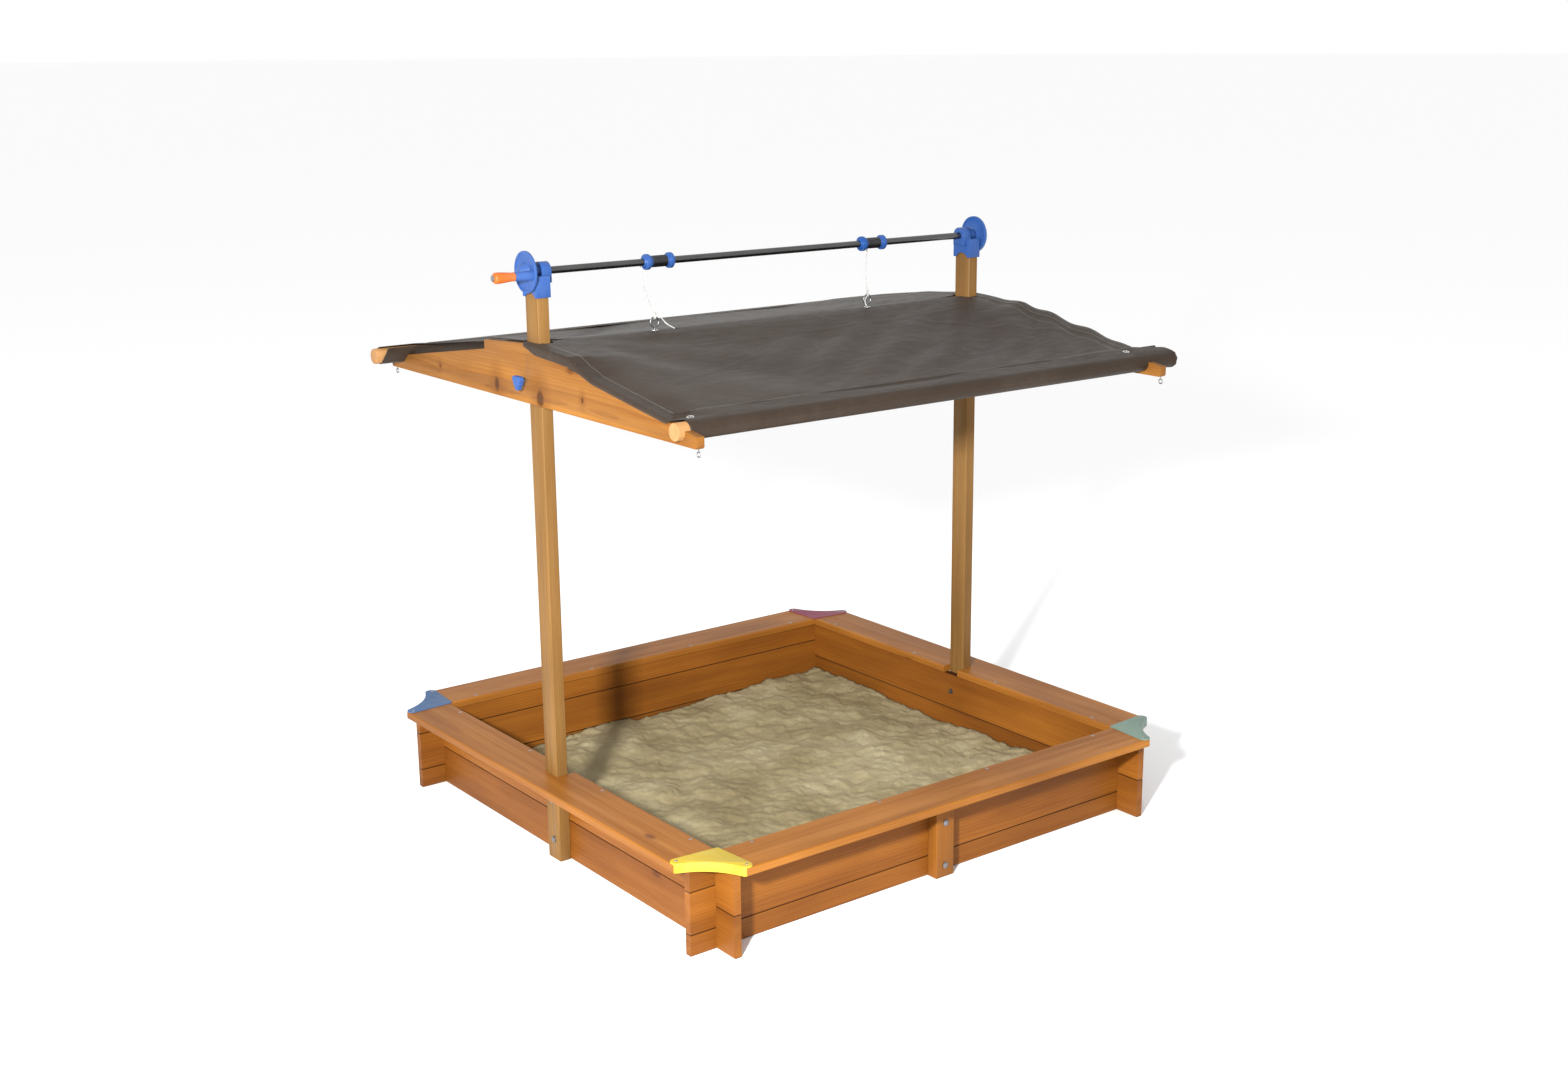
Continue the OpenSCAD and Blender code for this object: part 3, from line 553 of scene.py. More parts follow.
def screw_heads(name, places, across, dome, depth):
    """Round heads on a polar grid, all in one mesh. The height is a shallow dome less a cross-shaped recess:
    the recess is where the distance to the nearer arm of the cross is under a sixth of the head's radius."""
    rings, spokes = 14, 32
    r = np.linspace(0, 1, rings)[:, None]
    a = np.linspace(0, 2 * np.pi, spokes, endpoint=False)[None, :]
    x, y = r * np.cos(a), r * np.sin(a)
    arm = np.minimum(np.abs(x), np.abs(y))
    recess = np.clip((0.17 - arm) / 0.06, 0, 1) * np.clip((0.62 - r) / 0.08, 0, 1)
    z = dome * (1 - r**2) - depth * recess
    unit = np.stack([x * across / 2, y * across / 2, z + 0 * x], -1)
    under = unit[-1:].copy()
    under[..., 2] = -0.0022
    unit = np.concatenate([unit, under]).reshape(-1, 3)
    i = np.arange(rings)[:, None]
    j = np.arange(spokes)[None, :]
    k = (j + 1) % spokes
    quads = np.stack(
        np.broadcast_arrays(i * spokes + j, (i + 1) * spokes + j, (i + 1) * spokes + k, i * spokes + k), -1
    )
    quads = quads.reshape(-1, 4)
    spin = np.random.default_rng(5).uniform(0, 2 * np.pi, len(places))
    turnings = np.stack([np.cos(spin), -np.sin(spin), np.sin(spin), np.cos(spin)], -1).reshape(-1, 2, 2)
    points = np.repeat(unit[None], len(places), 0)
    points[..., :2] = np.einsum("nij,nkj->nki", turnings, points[..., :2])
    points += np.asarray(places)[:, None]
    faces = (quads[None] + (np.arange(len(places)) * len(unit))[:, None, None]).reshape(-1, 4)
    mesh = bpy.data.meshes.new(name)
    mesh.from_pydata(points.reshape(-1, 3).tolist(), [], faces.tolist())
    face_outwards(mesh, merge=2e-6, fill=True)
    mesh.polygons.foreach_set("use_smooth", [True] * len(mesh.polygons))
    made = bpy.data.objects.new(name, mesh)
    bpy.context.scene.collection.objects.link(made)
    made.data.materials.append(zinc)
    return made


SEAT_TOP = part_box("seat_front")[1].z
line = (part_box("wall_front_upper")[0].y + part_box("wall_front_upper")[1].y) / 2
steps = np.array([-0.505, -0.160, 0.160, 0.505])
quarter_turns = [(1, 0, 0, 1), (0, -1, 1, 0), (-1, 0, 0, -1), (0, 1, -1, 0)]
spots = [
    (a * s + b * line, c * s + d * line, SEAT_TOP + 0.0002) for a, b, c, d in quarter_turns for s in steps
]
heads = screw_heads("seat_screw_heads", spots, 0.0085, 0.0007, 0.0012)
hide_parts("seat_screws")
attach(heads, "box")
CAP_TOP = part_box("cap_near")[1].z
low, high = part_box("cap_screws")
lobe = (high.x - 0.003, 0.583)
spots = [
    (sx * p, sy * q, CAP_TOP + 0.0002) for sx in (-1, 1) for sy in (-1, 1) for p, q in (lobe, lobe[::-1])
]
heads = screw_heads("cap_screw_heads", spots, 0.0062, 0.0006, 0.0009)
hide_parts("cap_screws")
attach(heads, "box")
dress("bracket_screws", zinc)


# ---------------------------------------------------------------------------------------------
# Corner caps: moulded plastic plates, each corner in another colour, with a grained top and
# soft edges. Their hollow fronts leave room for the tie eyes of the lowered roof.
# ---------------------------------------------------------------------------------------------
def plastic(name, colour, rough, grain=0.00012, grain_scale=1500, faded=0.05):
    """Moulded plastic: one pigment, slightly paler where the sun has faded it, with a fine leathery grain."""
    made, tree, shader, where = plain_nodes(name)
    sun = noise(tree, where, 9, 3)
    pale = tuple(min(1.0, c + faded * (0.55 - 0.4 * c)) for c in colour)
    tree.links.new(
        blend_colours(tree, level(tree, sun, 0.35, 0.7, 0, 1), colour, pale), shader.inputs["Base Color"]
    )
    cloudy = noise(tree, where, 60, 3)
    shader.inputs["Specular IOR Level"].default_value = 0.26
    tree.links.new(level(tree, cloudy, 0.3, 0.7, rough - 0.06, rough + 0.08), shader.inputs["Roughness"])
    relief(tree, shader, noise(tree, where, grain_scale, 2, 0.5), grain, 0.7)
    return made


CAP_DOWN = 0.0003
for name, colour in (
    ("near", (0.44, 0.31, 0.010)),
    ("left", (0.028, 0.082, 0.195)),
    ("back", (0.165, 0.036, 0.060)),
    ("right", (0.120, 0.175, 0.140)),
):
    made = finish_soft(f"cap_{name}", 0.0011, plastic(f"cap_{name}_plastic", colour, 0.46), "box")
    # screwed down tight: the lowered roof just rests on it
    made.data.transform(Matrix.Translation((0, 0, -CAP_DOWN)))


# ---------------------------------------------------------------------------------------------
# Sand: a loose fill of washed play sand, raked by hand into low heaps. It lies a little
# higher along the walls at the right, and it is clumped where it has been damp.
# ---------------------------------------------------------------------------------------------
def value_noise(x, y, cell, seed):
    """Smooth noise from -1 to 1: random heights at the corners of square cells, joined by a fifth-power
    ease."""
    rng = np.random.default_rng(seed)
    table = rng.uniform(-1, 1, (160, 160))
    gx, gy = x / cell + 50, y / cell + 50
    ix, iy = np.floor(gx).astype(int) % 159, np.floor(gy).astype(int) % 159
    fx, fy = gx - np.floor(gx), gy - np.floor(gy)
    fx, fy = (f * f * f * (f * (f * 6 - 15) + 10) for f in (fx, fy))
    near = table[ix, iy] * (1 - fx) + table[ix + 1, iy] * fx
    far = table[ix, iy + 1] * (1 - fx) + table[ix + 1, iy + 1] * fx
    return near * (1 - fy) + far * fy


def sand_height(x, y):
    """Height of the sand: an even fill, slow heaps, hand-sized hollows, finger-sized ridges and small
    clumps."""
    z = 0.052 + 0.004 * (x - y)
    z = z + 0.0130 * value_noise(x, y, 0.34, 11) + 0.0075 * value_noise(x + 0.3 * y, y, 0.15, 12)
    z = z + 0.0058 * value_noise(x - 0.4 * y, y, 0.062, 13) + 0.0032 * value_noise(x, y, 0.026, 14)
    clumps = value_noise(x, y, 0.011, 15)
    z = z + 0.0011 * clumps + 0.0007 * value_noise(x, y, 0.0055, 16) + 0.0012 * np.clip(clumps - 0.45, 0, 1)
    return np.clip(z, 0.026, 0.086)


def sand_finish():
    """Damp and dry sand in patches, with grains of lighter and darker stone."""
    made, tree, shader, where = plain_nodes("sand")
    damp = noise(tree, where, 5.5, 4)
    grain = noise(tree, where, 900, 2, 0.7)
    speck = noise(tree, where, 320, 2, 0.8)
    body = ramp(
        tree,
        damp,
        [(0.30, (0.215, 0.172, 0.088)), (0.50, (0.300, 0.250, 0.140)), (0.72, (0.385, 0.335, 0.208))],
    )
    body = blend_colours(
        tree,
        0.75,
        body,
        ramp(tree, grain, [(0.30, (0.62, 0.60, 0.56)), (0.70, (1.22, 1.22, 1.22))]),
        "MULTIPLY",
    )
    body = blend_colours(
        tree,
        0.5,
        body,
        ramp(tree, speck, [(0.35, (0.70, 0.66, 0.60)), (0.62, (1.15, 1.15, 1.15))]),
        "MULTIPLY",
    )
    tree.links.new(body, shader.inputs["Base Color"])
    shader.inputs["Roughness"].default_value = 0.95
    shader.inputs["Specular IOR Level"].default_value = 0.2
    height = weighted(tree, grain, 0.5, speck, 0.5)
    relief(tree, shader, height, 0.0024, 0.9)
    return made


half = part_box("sand")[1].x
count = 296
line_x = np.linspace(-half, half, count)
gx, gy = np.meshgrid(line_x, line_x, indexing="ij")
gz = sand_height(gx, gy)
# the outermost row and column drop to the ground, and one face closes the bottom
edge = np.ones_like(gz, bool)
edge[1:-1, 1:-1] = False
gx[:2], gx[-2:] = -half, half
gy[:, :2], gy[:, -2:] = -half, half
gz[edge] = 0.0005
sand = skin("sand_fill", np.stack([gx, gy, gz], -1))
face_outwards(sand.data, fill=True)
sand.data.materials.append(sand_finish())
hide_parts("sand")
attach(sand, "box")


# ---------------------------------------------------------------------------------------------
# Winch: a drawn steel tube turns in two blue moulded brackets on the post tops, and carries two
# spools, a crank wheel at one end and a plain wheel at the other.
# ---------------------------------------------------------------------------------------------
BLUE = (0.008, 0.052, 0.205)
blue = plastic("blue_plastic", BLUE, 0.34, grain=0.00006, grain_scale=900, faded=0.05)
for name, body in (
    ("bracket_left", "box"),
    ("bracket_right", "box"),
    ("crank_wheel", "winch"),
    ("end_disc", "winch"),
    ("spool_flanges", "winch"),
):
    finish_soft(name, 0.0008, blue, body)
dress("shaft", metal("drawn_tube", (0.135, 0.135, 0.135), 0.24, streaks=(0.06, 1.6, 1.6), spread=0.10))
dress("handle_pin", zinc)
dress("spool_barrels", metal("dark_barrel", (0.07, 0.07, 0.075), 0.42, streaks=(0.4, 1, 1)))


# ---------------------------------------------------------------------------------------------
# Grip: a turned orange handle that spins on its pin. It is thickest near the free end, which
# is rounded over, and it has a shallow bead where it meets the socket.
# ---------------------------------------------------------------------------------------------
low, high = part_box("grip")
centre = ((low.y + high.y) / 2, (low.z + high.z) / 2)
t = np.linspace(0, 1, 60)
swell = 0.0091 + 0.0030 * np.sin(np.clip((1 - t) * 1.12, 0, 1) * np.pi / 2) ** 1.5
nose = np.sqrt(np.clip(1 - ((0.13 - t) / 0.13).clip(0) ** 2, 0, 1))
bead = 0.0007 * np.exp(-(((t - 0.95) / 0.02) ** 2))
line_r = np.maximum(swell * (0.35 + 0.65 * nose) + bead, 0.0045)
inner = np.array([[high.x, 0.0042], [low.x, 0.0042]])
outline = np.concatenate([np.stack([low.x + (high.x - low.x) * t, line_r], -1), inner, [[low.x, line_r[0]]]])
sides = 64
a = np.linspace(0, 2 * np.pi, sides, endpoint=False)[None, :]
points = np.stack(
    [
        np.repeat(outline[:, :1], sides, 1),
        centre[0] + outline[:, 1:] * np.cos(a),
        centre[1] + outline[:, 1:] * np.sin(a),
    ], -1
)
grip = skin("grip_handle", points, wrap=True)
face_outwards(grip.data, merge=1e-6)
grip.data.materials.append(plastic("orange_grip", (0.40, 0.085, 0.012), 0.38, grain=0.0001, faded=0.04))
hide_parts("grip")
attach(grip, "grip")


# ---------------------------------------------------------------------------------------------
# Roof frame: two gable boards with tapering arms, two round rods in their notches, a ridge
# beam and four guide blocks, all softwood with the same stain, screwed together.
# ---------------------------------------------------------------------------------------------
GABLE_LIGHT, GABLE_DARK = (0.250, 0.106, 0.020), (0.120, 0.038, 0.006)
GABLE_KNOTS = {
    "gable_left": (
        (0.128, 1.092, 0.011), (-0.059, 1.087, 0.013), (-0.232, 1.104, 0.005), (0.395, 1.098, 0.004)
    ),
    "gable_right": ((0.215, 1.101, 0.010), (-0.330, 1.092, 0.007)),
}
for number, name in enumerate(("gable_left", "gable_right")):
    low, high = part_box(name)
    wood = stained_wood(
        name + "_wood",
        "y",
        56 + 3 * number,
        GABLE_LIGHT,
        GABLE_DARK,
        pith=(0.05, -0.02),
        middle=((low.x + high.x) / 2, low.z),
        knots=GABLE_KNOTS[name],
    )
    finish_soft(name, 0.0016, wood, "roof")
for number, name in enumerate(("rod_front", "rod_back")):
    low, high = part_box(name)
    wood = stained_wood(
        name + "_wood", "x", 63 + number, (0.37, 0.20, 0.08), (0.21, 0.09, 0.03), pith=(0.003, 0.002),
        middle=((low.y + high.y) / 2, (low.z + high.z) / 2),
    )
    finish_soft(name, 0.0015, wood, "roof", segments=3)
low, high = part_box("ridge_beam")
dress("ridge_beam", stained_wood("ridge_beam_wood", "x", 67, GABLE_LIGHT, GABLE_DARK, middle=(0, low.z)))
dress("guide_blocks", stained_wood("guide_blocks_wood", "x", 68, GABLE_LIGHT, GABLE_DARK, middle=(0, low.z)))


# ---------------------------------------------------------------------------------------------
# Roof cloth: one piece of dark coated polyester, sewn into a tunnel round each rod and laid over
# the ridge. It has hems along its sides and a slot at each post, and it hangs over the near gable.
# ---------------------------------------------------------------------------------------------
FRONT_ROD = (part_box("rod_front")[0].y + 0.018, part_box("rod_front")[0].z + 0.018)
BACK_ROD = (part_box("rod_back")[0].y + 0.018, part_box("rod_back")[0].z + 0.018)
SLEEVE_R = 0.0191
RIDGE = 0.1262


def ease(x, a, b):
    """0 before a and 1 after b, easing between."""
    t = np.clip((x - a) / (b - a), 0, 1)
    return t * t * (3 - 2 * t)


def creases(x, y):
    """Small relief of the cloth, in metres: soft folds that fan out from the posts, slack between the gables,
    storage creases along straight lines, and the raised hems."""
    z = 0.0016 * value_noise(x, y, 0.21, 21) + 0.0008 * value_noise(x * 0.6, y, 0.07, 22)
    for px, spread, size, phase in ((0.60, 9.0, 0.0015, 0.4), (-0.60, 11.0, 0.0014, 1.3)):
        r = np.hypot(x - px, y + 0.02)
        a = np.arctan2(y + 0.02, (x - px) * -np.sign(px))
        fan = np.sin(spread * a + phase + 1.5 * value_noise(x, y, 0.3, 23))
        z = z + size * fan * ease(r, 0.06, 0.25) * (1 - ease(r, 0.55, 1.15))
    slant = 0.79 * y - 0.61 * x
    z = z + (
        0.0034 * np.sin(slant * 58 + 2.2 * value_noise(x, y, 0.4, 24))
        * ease(-y, 0.04, 0.2) * (1 - ease(-y, 0.42, 0.56)) * ease(x, -0.45, 0.1)
    )
    for x0, y0, x1, y1, size in (
        (0.05, -0.55, 0.60, -0.12, 0.0011),
        (0.22, -0.56, 0.63, -0.25, -0.0010),
        (-0.58, -0.40, -0.10, -0.18, 0.0007),
        (0.30, -0.10, 0.62, -0.40, 0.0010),
        (-0.45, 0.12, 0.55, 0.22, 0.0009),
        (-0.60, -0.13, 0.60, -0.10, 0.0007),
    ):
        dx, dy = x1 - x0, y1 - y0
        n = np.hypot(dx, dy)
        along = ((x - x0) * dx + (y - y0) * dy) / n
        off = ((x - x0) * dy - (y - y0) * dx) / n + 0.004 * value_noise(x, y, 0.09, 25)
        z = z + size * np.exp(-((off / 0.006) ** 2)) * ease(along, 0, 0.08) * (1 - ease(along, n - 0.08, n))
    return z


def gable_line(y):
    """Height of the cloth where it crosses a gable board without touching its arm: ridge, shoulder, rod."""
    return np.interp(y, [-0.585, -0.180, 0.0, 0.180, 0.585], [0.0461, 0.1190, 0.1300, 0.1190, 0.0561])


def arm_line(y):
    """Height of the cloth where it sags down on the arm of the near gable board, in front of the ridge."""
    at = [-0.585, -0.567, -0.552, -0.45, -0.35, -0.27, -0.215, -0.180, 0.0]
    return np.interp(y, at, [0.0461, 0.0425, 0.0412, 0.0566, 0.0720, 0.0846, 0.1020, 0.1186, 0.1300])


def middle_line(y):
    """Height of the cloth in the middle: straight from the ridge beam to the rod, with a shallow sag."""
    rise = np.where(y > 0, 0.0561, 0.0461)
    t = np.clip(np.abs(y) / 0.585, 0, 1)
    return RIDGE - 0.0006 + (rise - RIDGE) * t - 0.0075 * np.sin(np.pi * np.clip((t - 0.06) / 0.94, 0, 1))


def cloth_height(x, y):
    """Height of the top sheet above the underside of the gable boards."""
    near = np.exp(-(((0.647 - np.abs(x)).clip(0) / 0.17) ** 2))
    z = near * gable_line(y) + (1 - near) * middle_line(y)
    hug = np.exp(-(((x + 0.640).clip(0) / 0.050) ** 2)) * (y < 0)
    z = z + hug * (arm_line(y) - gable_line(y)) * near
    free = (1 - ease(np.abs(y), 0.545, 0.575)) * ease(np.abs(y), 0.0, 0.05)
    z = z + creases(x, y) * free * (1 - 0.75 * hug)
    hem = ease(np.abs(x), 0.6230, 0.6250) * 0.0012 + ease(np.abs(y), 0.5365, 0.5385) * 0.0010
    return z + hem


def slot_half(x):
    """Half the opening of a slot at the ridge: a lens that opens towards the post, the post's own width, and
    closed again outside the post."""
    a = np.abs(x)
    lens = 0.011 * ease(a, 0.535, 0.596)
    return (lens + 0.0195 * ease(a, 0.596, 0.599)) * (1 - ease(a, 0.6385, 0.6450))


def half_cloth(sign, count_v=96):
    """One half of the sheet, as rows from the hem under the rod to the ridge. Each row is a line across:
    first a straight tail under the slope, then an arc round the rod, then the slope, whose height is
    cloth_height. The first column is the left edge."""
    rod = FRONT_ROD if sign < 0 else BACK_ROD
    u = np.concatenate(
        [np.linspace(0, 0.045, 18)[:-1], np.linspace(0.045, 0.955, 190), np.linspace(0.955, 1, 14)[1:]]
    )[None, :]
    tail, wrap_rows, slope_rows = 5, 26, count_v
    # arc from the inner side, under the rod and over the outside to the top
    arc = np.radians(np.linspace(-35, -(360 - 100), wrap_rows))
    arc_y = rod[0] - sign * SLEEVE_R * np.cos(arc)
    arc_z = rod[1] + SLEEVE_R * np.sin(arc)
    seam_y, seam_z = sign * 0.538, ROOF_Z + (0.0545 if sign < 0 else 0.0630) - 0.0022
    k = np.linspace(0, 1, tail, endpoint=False)
    tail_y = seam_y + (arc_y[0] - seam_y) * k
    tail_z = seam_z + (arc_z[0] - seam_z) * k - 0.002 * np.sin(np.pi * k)
    v = np.linspace(0, 1, slope_rows + 1)[1:, None]
    start = arc_y[-1]
    stop = sign * slot_half_row(sign, u)
    y_slope = start + (stop - start) * v
    y_low = np.repeat(np.concatenate([tail_y, arc_y])[:, None], u.shape[1], 1)
    z_low = np.repeat(np.concatenate([tail_z, arc_z])[:, None], u.shape[1], 1)
    y = np.concatenate([y_low, y_slope])
    left, right_edge = cloth_edges(sign, y, len(y_low))
    x = left + (right_edge - left) * u
    z = np.concatenate([z_low, ROOF_Z + cloth_height(x[len(y_low):], y_slope)])
    over = (-0.6572 - x).clip(0) * (np.arange(len(y))[:, None] >= len(y_low)) * (sign < 0)
    x = x + over - 0.0012 * ease(over, 0, 0.004)
    z = z - over
    return np.stack([x, y, z], -1)


def slot_half_row(sign, u):
    """Slot half width along the last row, from the sheet's straight width across."""
    left, right_edge = (-0.6655, 0.6575) if sign < 0 else (-0.6410, 0.6560)
    return slot_half(left + (right_edge - left) * u)


def cloth_edges(sign, y, low_rows):
    """Left and right edge of each row. On the slope the sheet ends on the gable boards; it flares where it
    becomes the tunnel round the rod, and in front of the ridge it hangs over the near gable's shoulder."""
    far = np.abs(y[:, :1])
    roll_row = (np.arange(len(y)) < low_rows)[:, None]
    if sign < 0:
        left = (
            -0.6655 - 0.011 * (1 - ease(far, 0.17, 0.23)) * ease(far, 0.0, 0.05)
            + 0.0225 * ease(far, 0.545, 0.572)
        )
        right_edge = 0.6575 + 0.0760 * ease(far, 0.535, 0.572)
        left, right_edge = np.where(roll_row, -0.6430, left), np.where(roll_row, 0.7335, right_edge)
    else:
        left = -0.6410 - 0.0750 * ease(far, 0.552, 0.578)
        right_edge = 0.6560 + 0.0160 * ease(far, 0.535, 0.572)
        left, right_edge = np.where(roll_row, -0.7160, left), np.where(roll_row, 0.6720, right_edge)
    return left, right_edge


def cloth_finish():
    """Coated woven polyester: a plain weave too fine to see from afar, dark brown, with a grey bloom on the
    coating, paler in small patches, and a soft sheen at low angles."""
    made, tree, shader, where = plain_nodes("roof_cloth")
    warp = tree.nodes.new("ShaderNodeTexWave")
    weft = tree.nodes.new("ShaderNodeTexWave")
    for wave, direction in ((warp, "X"), (weft, "Y")):
        wave.wave_type = "BANDS"
        wave.bands_direction = direction
        wave.inputs["Scale"].default_value = 190
        wave.inputs["Distortion"].default_value = 0.6
        wave.inputs["Detail"].default_value = 1
        tree.links.new(where, wave.inputs["Vector"])
    weave = maths(tree, "MULTIPLY", warp.outputs["Fac"], weft.outputs["Fac"])
    bloom = noise(tree, where, 3.2, 4, 0.55, stretch=(1, 1.6, 1))
    rub = noise(tree, where, 26, 4, 0.6, stretch=(1, 2.5, 1))
    both = weighted(tree, bloom, 0.65, rub, 0.35)
    body = ramp(
        tree,
        both,
        [
            (0.34, (0.0235, 0.0150, 0.0098)),
            (0.52, (0.0305, 0.0203, 0.0138)),
            (0.70, (0.0430, 0.0320, 0.0245)),
        ],
    )
    body = blend_colours(
        tree, 0.5, body, ramp(tree, weave, [(0.0, (0.78, 0.78, 0.78)), (0.6, (1.12, 1.12, 1.12))]), "MULTIPLY"
    )
    tree.links.new(body, shader.inputs["Base Color"])
    tree.links.new(level(tree, rub, 0.3, 0.7, 0.44, 0.60), shader.inputs["Roughness"])
    shader.inputs["Specular IOR Level"].default_value = 0.15
    shader.inputs["Sheen Weight"].default_value = 0.02
    shader.inputs["Sheen Roughness"].default_value = 0.35
    shader.inputs["Sheen Tint"].default_value = (0.85, 0.88, 0.85, 1)
    height = weighted(tree, weave, 0.25, rub, 0.75)
    relief(tree, shader, height, 0.0007, 0.5)
    return made


brown_cloth = cloth_finish()
front, back = half_cloth(-1), half_cloth(1)
rows = np.concatenate([front, back[::-1]])
cloth = skin("roof_cloth_sheet", rows)
cells = bmesh.new()
cells.from_mesh(cloth.data)
cells.verts.ensure_lookup_table()
# the quads between the two halves join nothing: the halves meet on shared points where there is no slot
seam = len(front) - 1
cols = front.shape[1]
bridge = set(range(seam * cols, (seam + 2) * cols))
doomed = [f for f in cells.faces if all(v.index in bridge for v in f.verts)]
bmesh.ops.delete(cells, geom=doomed, context="FACES_ONLY")
ridge_verts = [v for v in cells.verts if v.index in bridge]
bmesh.ops.remove_doubles(cells, verts=ridge_verts, dist=0.0004)
cells.to_mesh(cloth.data)
cells.free()
skin_of_cloth = cloth.modifiers.new("thickness", "SOLIDIFY")
skin_of_cloth.thickness = 0.0011
skin_of_cloth.offset = 0
cloth.data.materials.append(brown_cloth)
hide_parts("roof_cloth")
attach(cloth, "roof")


# ---------------------------------------------------------------------------------------------
# Stitching and tunnel end: lines of lockstitch hold the hems and tunnels in a paler thread, and
# the tunnel of the front rod is gathered shut over the rod's far end.
# ---------------------------------------------------------------------------------------------
def stitches(lines, gap=0.0052, size=(0.0019, 0.00075, 0.00060)):
    """Rows of stitches, each a six-pointed spindle laid along its line and set on the cloth by
    cloth_height."""
    centre, ahead = [], []
    for (x0, y0), (x1, y1) in lines:
        n = int(np.hypot(x1 - x0, y1 - y0) / gap)
        t = np.linspace(0, 1, n)
        x, y = x0 + (x1 - x0) * t, y0 + (y1 - y0) * t
        step = np.array([x1 - x0, y1 - y0]) / np.hypot(x1 - x0, y1 - y0)
        z = ROOF_Z + cloth_height(x, y) + 0.0007
        dz = (cloth_height(x + step[0] * 0.002, y + step[1] * 0.002) - cloth_height(x, y)) / 0.002
        centre.append(np.stack([x, y, z], -1))
        ahead.append(np.stack([np.full(n, step[0]), np.full(n, step[1]), dz], -1))
    centre, ahead = np.concatenate(centre), np.concatenate(ahead)
    ahead /= np.linalg.norm(ahead, axis=1, keepdims=True)
    across = np.cross([0, 0, 1.0], ahead)
    across /= np.linalg.norm(across, axis=1, keepdims=True)
    lift = np.cross(ahead, across)
    corners = np.stack(
        [centre + s * size[k] * d for k, d in enumerate((ahead, across, lift)) for s in (-1, 1)], 1
    )
    order = np.array([[0, 2, 4], [2, 1, 4], [1, 3, 4], [3, 0, 4], [2, 0, 5], [1, 2, 5], [3, 1, 5], [0, 3, 5]])
    faces = (order[None] + 6 * np.arange(len(centre))[:, None, None]).reshape(-1, 3)
    mesh = bpy.data.meshes.new("stitching")
    mesh.from_pydata(corners.reshape(-1, 3).tolist(), [], faces.tolist())
    made = bpy.data.objects.new("stitching", mesh)
    bpy.context.scene.collection.objects.link(made)
    face_outwards(made.data)
    return made


thread_lines = []
for y in (-0.534, 0.534):
    thread_lines.append(((-0.625, y), (0.640, y)))
for x in (-0.625, 0.600, 0.627, 0.650):
    thread_lines += [((x, -0.53), (x, -0.05)), ((x, 0.05), (x, 0.53))]
thread = stitches(thread_lines)
made, tree, shader, where = plain_nodes("sewing_thread")
tree.links.new(
    ramp(tree, noise(tree, where, 240, 2), [(0.3, (0.13, 0.12, 0.11)), (0.7, (0.19, 0.18, 0.165))]),
    shader.inputs["Base Color"],
)
shader.inputs["Roughness"].default_value = 0.6
thread.data.materials.append(made)
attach(thread, "roof")

r = np.concatenate([np.linspace(0.02, 1, 14), np.full(4, 1.0)])[:, None]
end_sides = 72
a = np.linspace(0, 2 * np.pi, end_sides, endpoint=False)[None, :]
pucker = 0.0016 * np.sin(9 * a + 0.6 * np.sin(3 * a)) * np.minimum(r, 1) * (1 - 0.4 * r)
out = np.concatenate(
    [0.7345 + 0.0022 * (1 - np.linspace(0.02, 1, 14) ** 2), [0.7335, 0.7322, 0.7300, 0.7280]]
)[:, None]
grow = SLEEVE_R + 0.0008
disc = np.stack([out + pucker, FRONT_ROD[0] + grow * r * np.cos(a), FRONT_ROD[1] + grow * r * np.sin(a)], -1)
tunnel_end = skin("tunnel_end", disc, wrap=True)
cells = bmesh.new()
cells.from_mesh(tunnel_end.data)
cells.verts.ensure_lookup_table()
cells.faces.new([cells.verts[k] for k in range(end_sides)][::-1])
bmesh.ops.recalc_face_normals(cells, faces=cells.faces)
cells.to_mesh(tunnel_end.data)
cells.free()
shell = tunnel_end.modifiers.new("thickness", "SOLIDIFY")
shell.thickness = 0.001
shell.offset = 0
tunnel_end.data.materials.append(brown_cloth)
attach(tunnel_end, "roof")


# ---------------------------------------------------------------------------------------------
# Eyelets: pressed nickel-plated rings, one near each corner of the cloth and one round each
# ring eye on the ridge. Each is a rolled collar that stands a little proud of the fabric.
# ---------------------------------------------------------------------------------------------
nickel = metal("nickel", (0.78, 0.77, 0.74), 0.22)


def eyelet(x, y, radius=0.0063, tube=0.0019):
    """A flattened torus whose axis is the cloth's own normal at (x, y)."""
    step = 0.012
    z = cloth_height(np.array([x, x + step, x]), np.array([y, y, y + step]))
    normal = Vector((-(z[1] - z[0]) / step, -(z[2] - z[0]) / step, 1)).normalized()
    if abs(y) < 0.01:
        normal = Vector((0, 0, 1))
    a = np.linspace(0, 2 * np.pi, 40, endpoint=False)[:, None]
    b = np.linspace(0, 2 * np.pi, 14, endpoint=False)[None, :]
    r = radius + tube * np.cos(b)
    points = np.stack([r * np.cos(a), r * np.sin(a), 0.00075 * np.sin(b) + 0 * a], -1)
    turn_to = np.array(Vector((0, 0, 1)).rotation_difference(normal).to_matrix())
    points = points @ turn_to.T + np.array([x, y, ROOF_Z + z[0] + 0.0007])
    return np.concatenate([points, points[:1]])


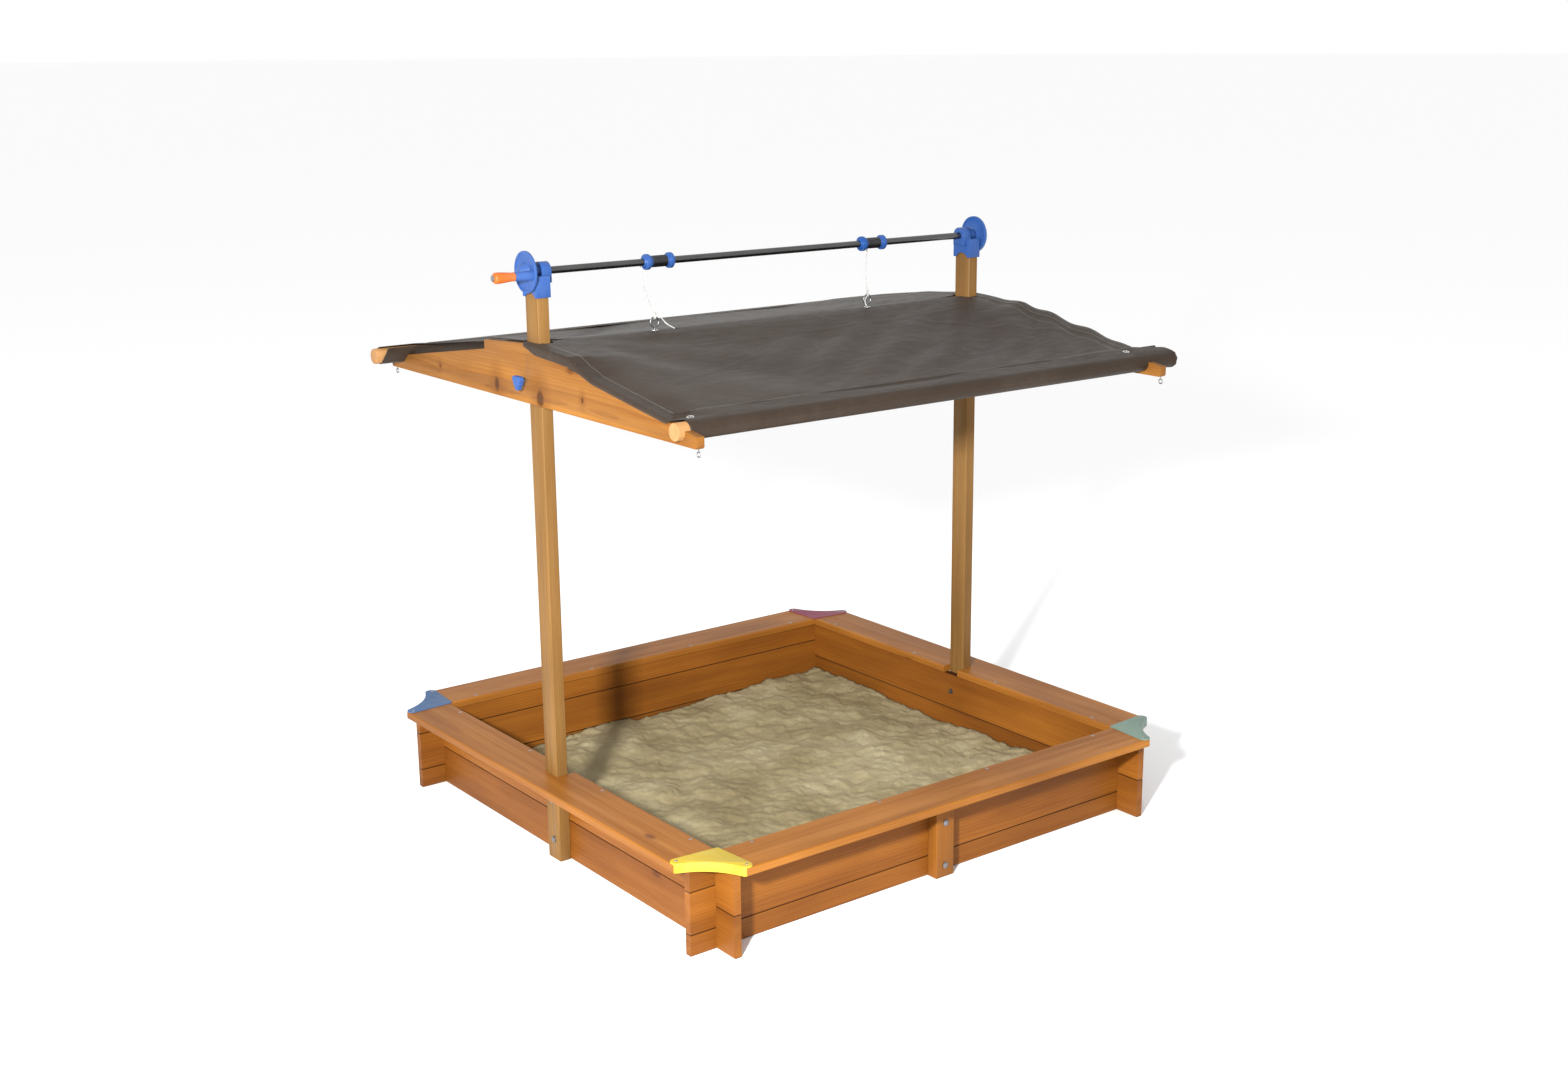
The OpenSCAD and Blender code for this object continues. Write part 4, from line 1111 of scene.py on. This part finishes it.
EYELET_X, EYELET_Y = 0.612, 0.560
for k, (x, y) in enumerate(
    [(sx * EYELET_X, sy * EYELET_Y) for sx in (-1, 1) for sy in (-1, 1)] + [(EYE_X[0], 0), (EYE_X[1], 0)]
):
    made = skin(f"eyelet_{k + 1}", eyelet(x, y), wrap=True)
    face_outwards(made.data, merge=1e-6)
    made.data.materials.append(nickel)
    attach(made, "roof")
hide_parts("grommets")


# ---------------------------------------------------------------------------------------------
# Clamp knobs: blue three-lobed knobs on steel studs. They pass through the gable boards and
# press on the posts, so that the roof stays up without the cords.
# ---------------------------------------------------------------------------------------------
for name in ("knob_left", "knob_right"):
    finish_soft(name, 0.0012, blue, name, segments=3)


# ---------------------------------------------------------------------------------------------
# Floor and light: a plain pale floor that runs out of sight, an even white surround, and a
# soft lamp at the front left, low enough to shine in under the roof.
# ---------------------------------------------------------------------------------------------
floor_mesh = bpy.data.meshes.new("floor")
reach = 300.0
floor_mesh.from_pydata(
    [(-reach, -reach, -0.0005), (reach, -reach, -0.0005), (reach, reach, -0.0005), (-reach, reach, -0.0005)],
    [],
    [(0, 1, 2, 3)],
)
floor = bpy.data.objects.new("floor", floor_mesh)
bpy.context.scene.collection.objects.link(floor)
made, tree, shader, where = plain_nodes("floor")
shader.inputs["Base Color"].default_value = (0.96, 0.96, 0.96, 1)
shader.inputs["Roughness"].default_value = 0.9
shader.inputs["Specular IOR Level"].default_value = 0.1
floor_mesh.materials.append(made)

world = bpy.data.worlds.new("surround")
bpy.context.scene.world = world
world.use_nodes = True
world.node_tree.nodes["Background"].inputs["Color"].default_value = (1, 1, 1, 1)
world.node_tree.nodes["Background"].inputs["Strength"].default_value = 1.0


def lamp(name, place, aim, power, size):
    """A square soft lamp at a place, facing its aim."""
    made = bpy.data.objects.new(name, bpy.data.lights.new(name, "AREA"))
    made.data.energy = power
    made.data.size = size
    made.location = place
    made.rotation_euler = (Vector(aim) - Vector(place)).to_track_quat("-Z", "Y").to_euler()
    bpy.context.scene.collection.objects.link(made)
    return made


lamp("key", (-3.16, -2.78, 2.05), (0, 0, 0.4), 400, 0.26)
bpy.context.scene.view_settings.view_transform = "Standard"
